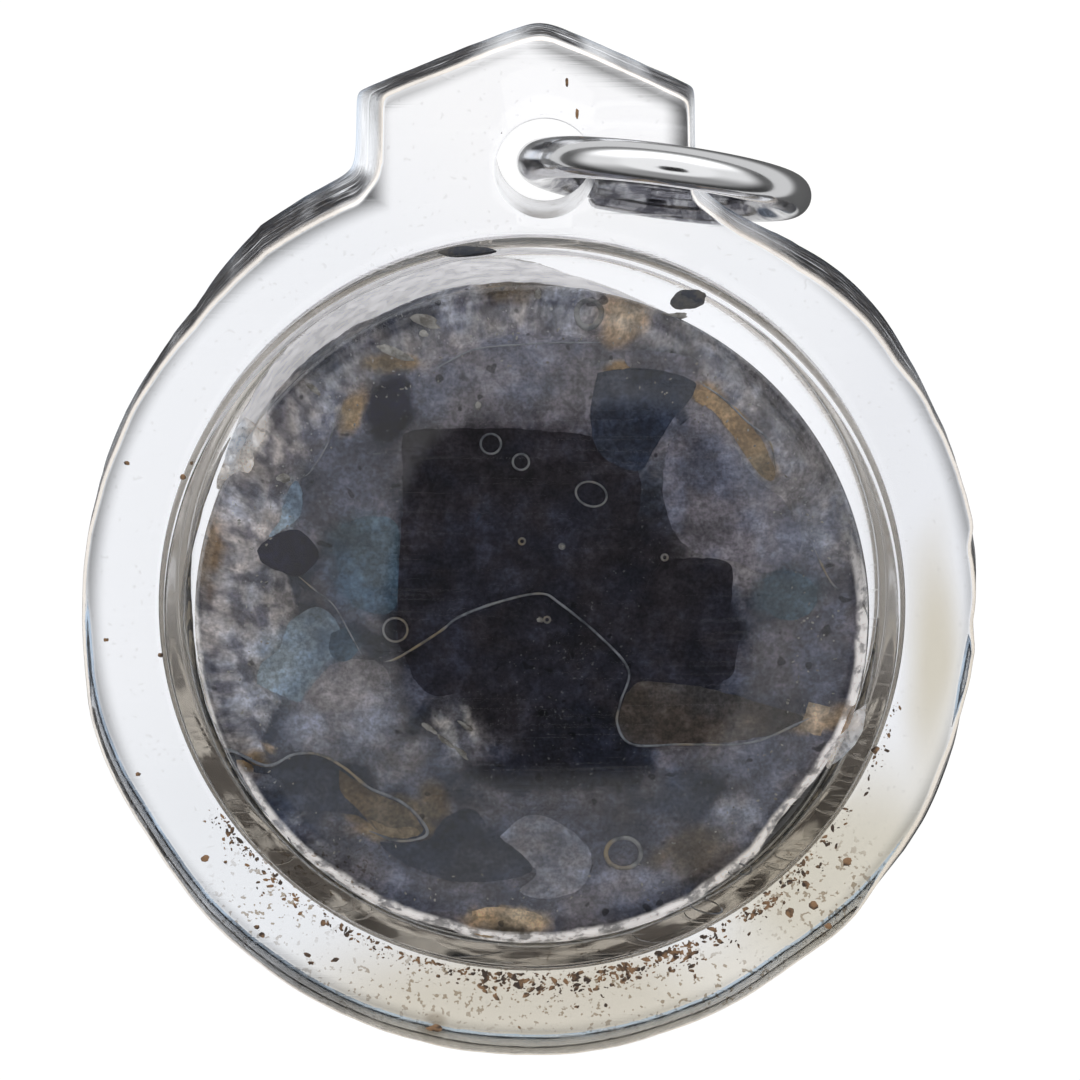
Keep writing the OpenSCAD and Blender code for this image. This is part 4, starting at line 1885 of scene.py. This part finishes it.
@dataclass(frozen=True)
class AirLine(Finish):
    """The bright line at the end of an air gap: the edge is real, and its pale grey is painted highlight.
    """

    name: str = "air_gap_line"
    colour: Colour = (0.36, 0.38, 0.42)

    def paint(self, sheet: Sheet) -> Socket:
        """Adds the nodes."""
        where = sheet.places()
        patchy = sheet.noise(where, 1.4, 4.0)
        warm = sheet.noise(where, 0.35, 2.0).step(0.5, 0.66)
        colour = sheet.blend(warm, self.colour, (0.4, 0.31, 0.19))
        return sheet.principled({
            "Base Color": sheet.blend(patchy.step(0.32, 0.6), (0.1, 0.11, 0.13), colour),
            "Roughness": 0.3,
        })


@dataclass(frozen=True)
class Chip:
    """One flake or grain, on the photograph."""

    px: float
    py: float
    wide: float
    high: float
    turn: float = 0.0


def grain(
    mesh: Form, place: Vector, size: Vector, turn: float, rough: float, fine: int = 1
) -> None:
    """Adds one uneven grain.

    Args:
        mesh: the bmesh that it is added to.
        place: its middle.
        size: its half sizes.
        turn: its turn about Z in degrees.
        rough: how uneven it is, as a share of its size.
        fine: how finely it is divided.
    """
    frame_of = Matrix.Translation(place) @ Matrix.Rotation(math.radians(turn), 4, "Z")
    made = bmesh.ops.create_icosphere(mesh, subdivisions=fine, radius=1.0)
    for vertex in made["verts"]:
        push = 1 + rough * noise.noise(vertex.co * 1.3 + place * 7.7)
        vertex.co = frame_of @ Vector(v * s * push for v, s in zip(vertex.co, size))


@dataclass
class Crumbs:
    """Loose bits: wax flakes, listed chips that are painted highlights, dark bits, and the brown crust at
    the pocket's foot. Millimetres.
    """

    case: Case
    # Partly painted highlights: the first nine pale chips stand in for glare on the upper rim and lamp
    # glints on the case's face, and the rest are pale wax flakes.
    pale: tuple[Chip, ...] = (
        Chip(396, 354, 17, 4, 20),
        Chip(428, 326, 17, 5, 15),
        Chip(538, 303, 3, 7, 0),
        Chip(318, 392, 8, 3, 40),
        Chip(285, 477, 7, 4, 0),
        Chip(425, 336, 4, 3, 0),
        Chip(540, 618, 3, 3, 0),
        Chip(478, 405, 3, 4, 0),
        Chip(562, 545, 3, 2, 0),
        Chip(430, 726, 10, 2.5, 40),
        Chip(445, 738, 11, 2.5, 42),
        Chip(462, 750, 9, 2.5, 45),
        Chip(466, 724, 9, 2.5, 38),
        Chip(672, 318, 15, 4, -12),
    )
    dark: tuple[Chip, ...] = (
        Chip(689, 299, 18, 10, -15),
        Chip(467, 252, 26, 6, 0),
        Chip(500, 934, 34, 6, 3),
    )
    marks: tuple[Chip, ...] = (
        Chip(138, 774, 3, 2), Chip(205, 858, 4, 3), Chip(257, 927, 3, 2), Chip(262, 935, 3, 3),
        Chip(307, 955, 4, 2, 30), Chip(311, 963, 3, 2), Chip(127, 463, 3, 2), Chip(183, 477, 3, 3),
        Chip(192, 463, 2, 2), Chip(106, 640, 3, 2), Chip(161, 655, 3, 2), Chip(335, 960, 4, 2, -20),
        Chip(347, 935, 3, 2), Chip(323, 923, 3, 3), Chip(435, 1028, 7, 4, 10), Chip(567, 82, 1.5, 5),
        Chip(577, 113, 1.5, 6), Chip(847, 862, 5, 4), Chip(875, 750, 4, 4), Chip(814, 905, 5, 4, 30),
        Chip(790, 912, 4, 5), Chip(806, 884, 4, 3), Chip(828, 926, 4, 3),
    )
    flakes: int = 260
    flake_reach: tuple[float, float] = (10.4, 12.3)
    crust: int = 1500
    crust_arcs: tuple[tuple[float, float, float], ...] = (
        (212, 234, 0.28), (236, 262, 0.2), (262, 306, 0.5), (306, 322, 0.3), (322, 346, 0.12),
    )

    def build(self) -> None:
        """Makes the pieces."""
        self.wax_flakes_and_glints()
        self.dark_bits()
        self.brown_crust()

    def wax_flakes_and_glints(self) -> None:
        """Makes the pale flakes that cling under the case's face, the small ones at random, and the listed
        chips that are painted highlights.
        """
        mesh = bmesh.new()
        for chip in self.pale:
            size = Vector((chip.wide, chip.high, 1.2)) * EYE.step
            grain(mesh, self.case.under(chip.px, chip.py, 0.06), size, -chip.turn, 0.6, 2)
        for _ in range(self.flakes):
            angle = random.uniform(0, math.tau)
            reach = random.uniform(*self.flake_reach)
            size = Vector((random.uniform(0.03, 0.09), random.uniform(0.02, 0.05), 0.03))
            place = polar(angle, reach, self.case.ceiling(reach) - 0.08)
            grain(mesh, place, size, random.uniform(0, 180), 0.5)
        finish = Crumb("pale_flake_and_glint", (0.5, 0.48, 0.44), (0.22, 0.2, 0.17))
        piece(mesh, "wax_flakes_and_glints", [finish.material()])

    def dark_bits(self) -> None:
        """Makes the dark bits that are caught between the wax and the case."""
        mesh = bmesh.new()
        for chip in self.dark:
            size = Vector((chip.wide, chip.high, 2.0)) * EYE.step
            place = self.case.under(chip.px, chip.py, 0.12)
            if place.xy.length > self.case.pocket_r:
                place = EYE.seen(chip.px, chip.py, self.case.front_z + 0.03)
            grain(mesh, place, size, -chip.turn, 0.35, 3)
        finish = Crumb("dark_bit", (0.03, 0.035, 0.05), (0.08, 0.075, 0.07))
        piece(mesh, "dark_bits", [finish.material()])

    def brown_crust(self) -> None:
        """Makes the brown crust at the pocket's foot and the specks on the flange."""
        mesh = bmesh.new()
        level = self.case.front_z
        for chip in self.marks:
            size = Vector((chip.wide * EYE.step, chip.high * EYE.step, 0.03))
            grain(mesh, EYE.seen(chip.px, chip.py, level + 0.01), size, -chip.turn, 0.6, 2)
        foot = self.case.pocket_r + self.case.base_round - 0.1
        weights = [(end - start) * share for start, end, share in self.crust_arcs]
        for start, end, share in random.choices(self.crust_arcs, weights, k=self.crust):
            degrees = random.uniform(start, end)
            angle = math.radians(degrees)
            reach = foot + abs(random.gauss(0, 0.15 + share * 0.75))
            place = polar(angle, reach, level + 0.01)
            if noise.noise(place * 1.1) < random.uniform(-0.5, 0.25):
                continue
            big = (0.018 + 0.07 * random.random() ** 3) * (0.7 + share)
            size = Vector((big * random.uniform(1.0, 2.4), big, 0.025))
            grain(mesh, place, size, degrees + 90 + random.gauss(0, 40), 0.7)
        finish = Crumb("brown_crust", (0.05, 0.03, 0.02), (0.3, 0.17, 0.085))
        piece(mesh, "brown_crust", [finish.material()])


@dataclass(frozen=True)
class Crumb(Finish):
    """A loose bit in two tones."""

    name: str
    low: Colour
    high: Colour

    def paint(self, sheet: Sheet) -> Socket:
        """Adds the nodes."""
        where = sheet.places()
        mixed = sheet.noise(where, 2.4, 4.0, 0.6)
        return sheet.principled({
            "Base Color": sheet.blend(mixed.step(0.4, 0.62), self.low, self.high),
            "Roughness": 0.55,
            "Normal": sheet.bump(sheet.noise(where, 9.0, 3.0), 0.02),
        })


@dataclass(frozen=True)
class Seep:
    """One run of oil along the pocket's wall, from one direction in degrees to another."""

    start: float
    end: float
    reach: float
    thick: float
    low: float
    high: float


@dataclass
class SeepOil:
    """The brown oil that has seeped from the wax along the pocket's wall. Millimetres."""

    seeps: tuple[Seep, ...] = (
        Seep(168, 358, 13.5, 0.24, 4.2, 7.3),
        Seep(150, 176, 13.58, 0.07, 5.4, 7.2),
        Seep(186, 300, 13.3, 0.08, 7.5, 8.6),
    )
    wave_r: float = 13.0
    thickest: float = 0.26
    steps: float = 1.6
    sides: int = 20

    def build(self) -> None:
        """Makes the oil."""
        mesh = bmesh.new()
        for seep in self.seeps:
            count = int((seep.end - seep.start) * self.steps)
            stations = []
            for i in range(count + 1):
                angle = math.radians(seep.start + (seep.end - seep.start) * i / count)
                here = polar(angle, self.wave_r, seep.low)
                ends = min(1.0, 0.15 + min(i, count - i) * 0.05)
                wave = noise.noise(here * 0.35) + 0.5 * noise.noise(here * 1.3)
                thick = seep.thick * ends * (0.9 + 0.4 * wave)
                tall = (seep.high - seep.low) / 2 * ends * (0.9 + 0.25 * noise.noise(here * 0.9))
                middle = polar(angle, seep.reach - thick * 0.1, (seep.high + seep.low) / 2 + 0.2 * wave)
                across = polar(angle, min(thick, self.thickest), 0.0)
                stations.append(Station(middle, across, Vector((0, 0, tall))))
            sweep(mesh, stations, self.sides)
        piece(mesh, "oil_runs", [BrownOil().material()], replaces="seep_oil")


@dataclass(frozen=True)
class BrownOil(Finish):
    """Thick brown oil, from olive grey to nearly black."""

    name: str = "brown_oil"

    def paint(self, sheet: Sheet) -> Socket:
        """Adds the nodes."""
        where = sheet.places()
        runs = sheet.stretched(sheet.warped(where, 0.3, 1.0), 0, (0.45, 0.45, 2.6))
        flow = sheet.noise(runs, 0.8, 4.0, 0.6)
        dark = sheet.noise(runs, 1.9, 3.0, 0.6)
        colour = sheet.blend(flow.step(0.4, 0.6), (0.05, 0.04, 0.03), (0.42, 0.35, 0.25))
        colour = sheet.blend(dark.step(0.52, 0.6) * 0.9, colour, (0.01, 0.008, 0.007))
        return sheet.principled({
            "Base Color": colour,
            "Roughness": dark.step(0.3, 0.7, 0.12, 0.3),
            "IOR": 1.47,
            "Coat Weight": 0.4,
            "Normal": sheet.bump(flow * 0.7 + dark * 0.3, 0.08),
        })


# The ring


@dataclass
class JumpRing:
    """The closed ring of steel wire in the tab's hole. Lengths are in millimetres."""

    centre_r: float = 5.1
    wire_r: float = 0.825
    place: Vector = field(default_factory=lambda: Vector((5.259, 17.233, 5.85)))
    turn: float = -8.0
    lean: float = 15.0
    wire_sides: int = 40
    steps: int = 220

    def build(self) -> None:
        """Makes the ring."""
        ring = bmesh.new()
        bmesh.ops.create_circle(ring, segments=self.wire_sides, radius=self.wire_r)
        bmesh.ops.rotate(ring, verts=ring.verts, matrix=Matrix.Rotation(math.pi / 2, 3, "X"))
        bmesh.ops.translate(ring, verts=ring.verts, vec=(self.centre_r, 0, 0))
        spun(ring, self.steps)
        upright = Matrix.Rotation(math.radians(90 - self.lean), 4, "X")
        fallen = Matrix.Rotation(math.radians(self.turn), 4, "Z")
        matrix = Matrix.Translation(self.place) @ fallen @ upright
        bmesh.ops.transform(ring, verts=ring.verts, matrix=matrix)
        piece(ring, "jump_ring_dressed", [BrightSteel().material()], replaces="jump_ring")


@dataclass(frozen=True)
class BrightSteel(Finish):
    """Polished steel wire, duller and darker low down, where the darkening is painted shade."""

    name: str = "bright_steel"

    def paint(self, sheet: Sheet) -> Socket:
        """Adds the nodes."""
        where = sheet.places()
        rise = sheet.along(where, "Z")
        dull = sheet.noise(where, 1.4, 3.0, 0.6)
        # Painted shade: a dull grey-black base colour low on the ring, where it lies in shade, blended to
        # bright steel higher up.
        painted_shade = sheet.blend(dull.step(0.4, 0.6), (0.14, 0.14, 0.16), (0.4, 0.4, 0.41))
        fine = sheet.noise(sheet.stretched(where, -8, (0.4, 3.0, 3.0)), 3.0, 1.0)
        return sheet.principled({
            "Base Color": sheet.blend(rise.step(4.5, 8.5), painted_shade, (0.88, 0.885, 0.9)),
            "Metallic": 1.0,
            "Roughness": fine * 0.06 + dull * 0.06 + 0.06,
        })


# The studio


@dataclass
class Studio:
    """The lit table and the light round the amulet. Lengths are in millimetres."""

    table: float = 3000.0
    drop: float = 0.02
    glow: float = 0.98
    albedo: float = 0.08
    drift: float = 1.4
    lit_r: float = 17.5
    lit_fade: float = 1.2
    lit_tab: Vector = field(default_factory=lambda: Vector((5.4, 23.0)))
    roof_slope: float = 0.44
    lit_tab_x: float = -0.2
    dim_glow: float = 0.06
    dim_to: float = 27.0
    far_from: float = 36.0
    far_glow: float = 0.6
    top_glow: float = 0.92
    top_to: float = 32.0
    top_fade: float = 12.0
    side_glow: float = 0.8
    head_glow: float = 1.6
    foot_glow: float = 0.3
    horizon_glow: float = 0.15
    horizon_from: float = 8.0
    horizon_to: float = 28.0
    shade_glow: float = 0.02
    shade_x: float = 0.038
    shade_y: float = -0.18
    shade_wide: float = 0.185
    shade_high: float = 0.19
    shade_soft: float = 0.85

    def floor(self) -> None:
        """Makes the pale table, which glows round the amulet as a light pad does."""
        mesh = bmesh.new()
        bmesh.ops.create_grid(mesh, x_segments=1, y_segments=1, size=self.table * MM / 2)
        bmesh.ops.translate(mesh, verts=mesh.verts, vec=(0, 0, -self.drop * MM))
        data = meshed(mesh, "table")
        made = bpy.data.materials.new("pale_table")
        made.cycles.emission_sampling = "NONE"
        made.use_nodes = True
        sheet = Sheet(made.node_tree)
        values = {"Vector": sheet.places(), "Location": (0.0, self.drift, 0.0)}
        where = sheet.node("ShaderNodeMapping", None, values).outputs[0]
        reach = sheet.reach(where)
        across = (sheet.along(where, "X") - self.lit_tab_x).distance()
        along = sheet.along(where, "Y")
        roof = along + across * self.roof_slope
        tab = across.step(self.lit_tab.x, self.lit_tab.x + self.lit_fade, 1.0, 0.0)
        tab = tab * roof.step(self.lit_tab.y, self.lit_tab.y + self.lit_fade, 1.0, 0.0)
        tab = tab * along.step(0.0, 1.0)
        pad = reach.step(self.lit_r, self.lit_r + self.lit_fade, 1.0, 0.0).at_least(tab)
        around = pad.at_least(reach.step(self.dim_to, self.far_from, self.dim_glow, self.far_glow))
        glow = around.at_least(sheet.camera_ray()) * self.glow
        lit = sheet.node("ShaderNodeEmission", None, {"Color": WHITE, "Strength": glow})
        matt = sheet.node("ShaderNodeBsdfDiffuse", None, {"Color": (self.albedo,) * 3})
        both = sheet.node("ShaderNodeAddShader", None, {0: lit.outputs[0], 1: matt.outputs[0]})
        sheet.node("ShaderNodeOutputMaterial", None, {"Surface": both.outputs[0]})
        data.materials.append(made)
        placed("table", data)

    def sky(self) -> None:
        """Makes the soft light: a bright dome with a dark place overhead and a dark horizon."""
        world = bpy.data.worlds.new("studio")
        bpy.context.scene.world = world
        world.use_nodes = True
        world.cycles.sampling_method = "NONE"
        sheet = Sheet(world.node_tree)
        direction = sheet.node("ShaderNodeTexCoord").outputs["Generated"]
        rise = self._facing(sheet, direction, Vector((0, 0, 1)))
        across = self._facing(sheet, direction, Vector((1, 0, 0)))
        along = self._facing(sheet, direction, Vector((0, 1, 0)))
        wide = (across - self.shade_x) / self.shade_wide
        high = (along - self.shade_y) / self.shade_high
        over = (wide * wide * wide * wide + high * high).at_least(rise.step(0.0, 0.1, 9.0, 0.0))
        shade = over.step(self.shade_soft, 1 / self.shade_soft, self.shade_glow, 1.0)
        around = along.step(0.15, 0.75, self.side_glow, self.head_glow)
        around = around * along.step(-0.75, -0.15, self.foot_glow / self.side_glow, 1.0)
        low, high = (math.cos(math.radians(turn)) for turn in (self.top_to + self.top_fade, self.top_to))
        top = rise.step(low, high)
        glow = around * (1 - top) + top * self.top_glow
        low, high = (math.sin(math.radians(turn)) for turn in (self.horizon_from, self.horizon_to))
        edge = rise.step(low, high, self.horizon_glow, 1.0)
        strength = (shade * edge * glow).at_least(sheet.camera_ray())
        lit = sheet.node("ShaderNodeBackground", None, {"Color": WHITE, "Strength": strength})
        sheet.node("ShaderNodeOutputWorld", None, {"Surface": lit.outputs[0]})

    def _facing(self, sheet: Sheet, direction: Socket, axis: Vector) -> Signal:
        """How far a direction goes along an axis."""
        values = {0: direction, 1: tuple(axis)}
        node = sheet.node("ShaderNodeVectorMath", {"operation": "DOT_PRODUCT"}, values)
        return sheet.signal(node, "Value")

    def settings(self) -> None:
        """Sets how light and tones are worked out."""
        scene = bpy.context.scene
        scene.view_settings.view_transform = "Standard"
        scene.view_settings.look = "None"
        cycles = scene.cycles
        cycles.use_denoising = True
        cycles.max_bounces = 12
        cycles.transmission_bounces = 12
        cycles.glossy_bounces = 6
        cycles.diffuse_bounces = 3
        cycles.transparent_max_bounces = 8
        cycles.sample_clamp_indirect = 4.0

    def build(self) -> None:
        """Makes the table and the light."""
        self.floor()
        self.sky()
        self.settings()


def main() -> None:
    """Builds the amulet and its studio in order."""
    logging.basicConfig(level=logging.INFO, format="%(name)s %(message)s")
    random.seed(SEED)
    noise.seed_set(SEED)
    EYE.build()
    Studio().build()
    case = Case()
    case.build()
    Wax(case).build()
    WaxPlates(case).build()
    AirGaps(case).build()
    Crumbs(case).build()
    SeepOil().build()
    JumpRing().build()


if __name__ == "__main__":
    main()
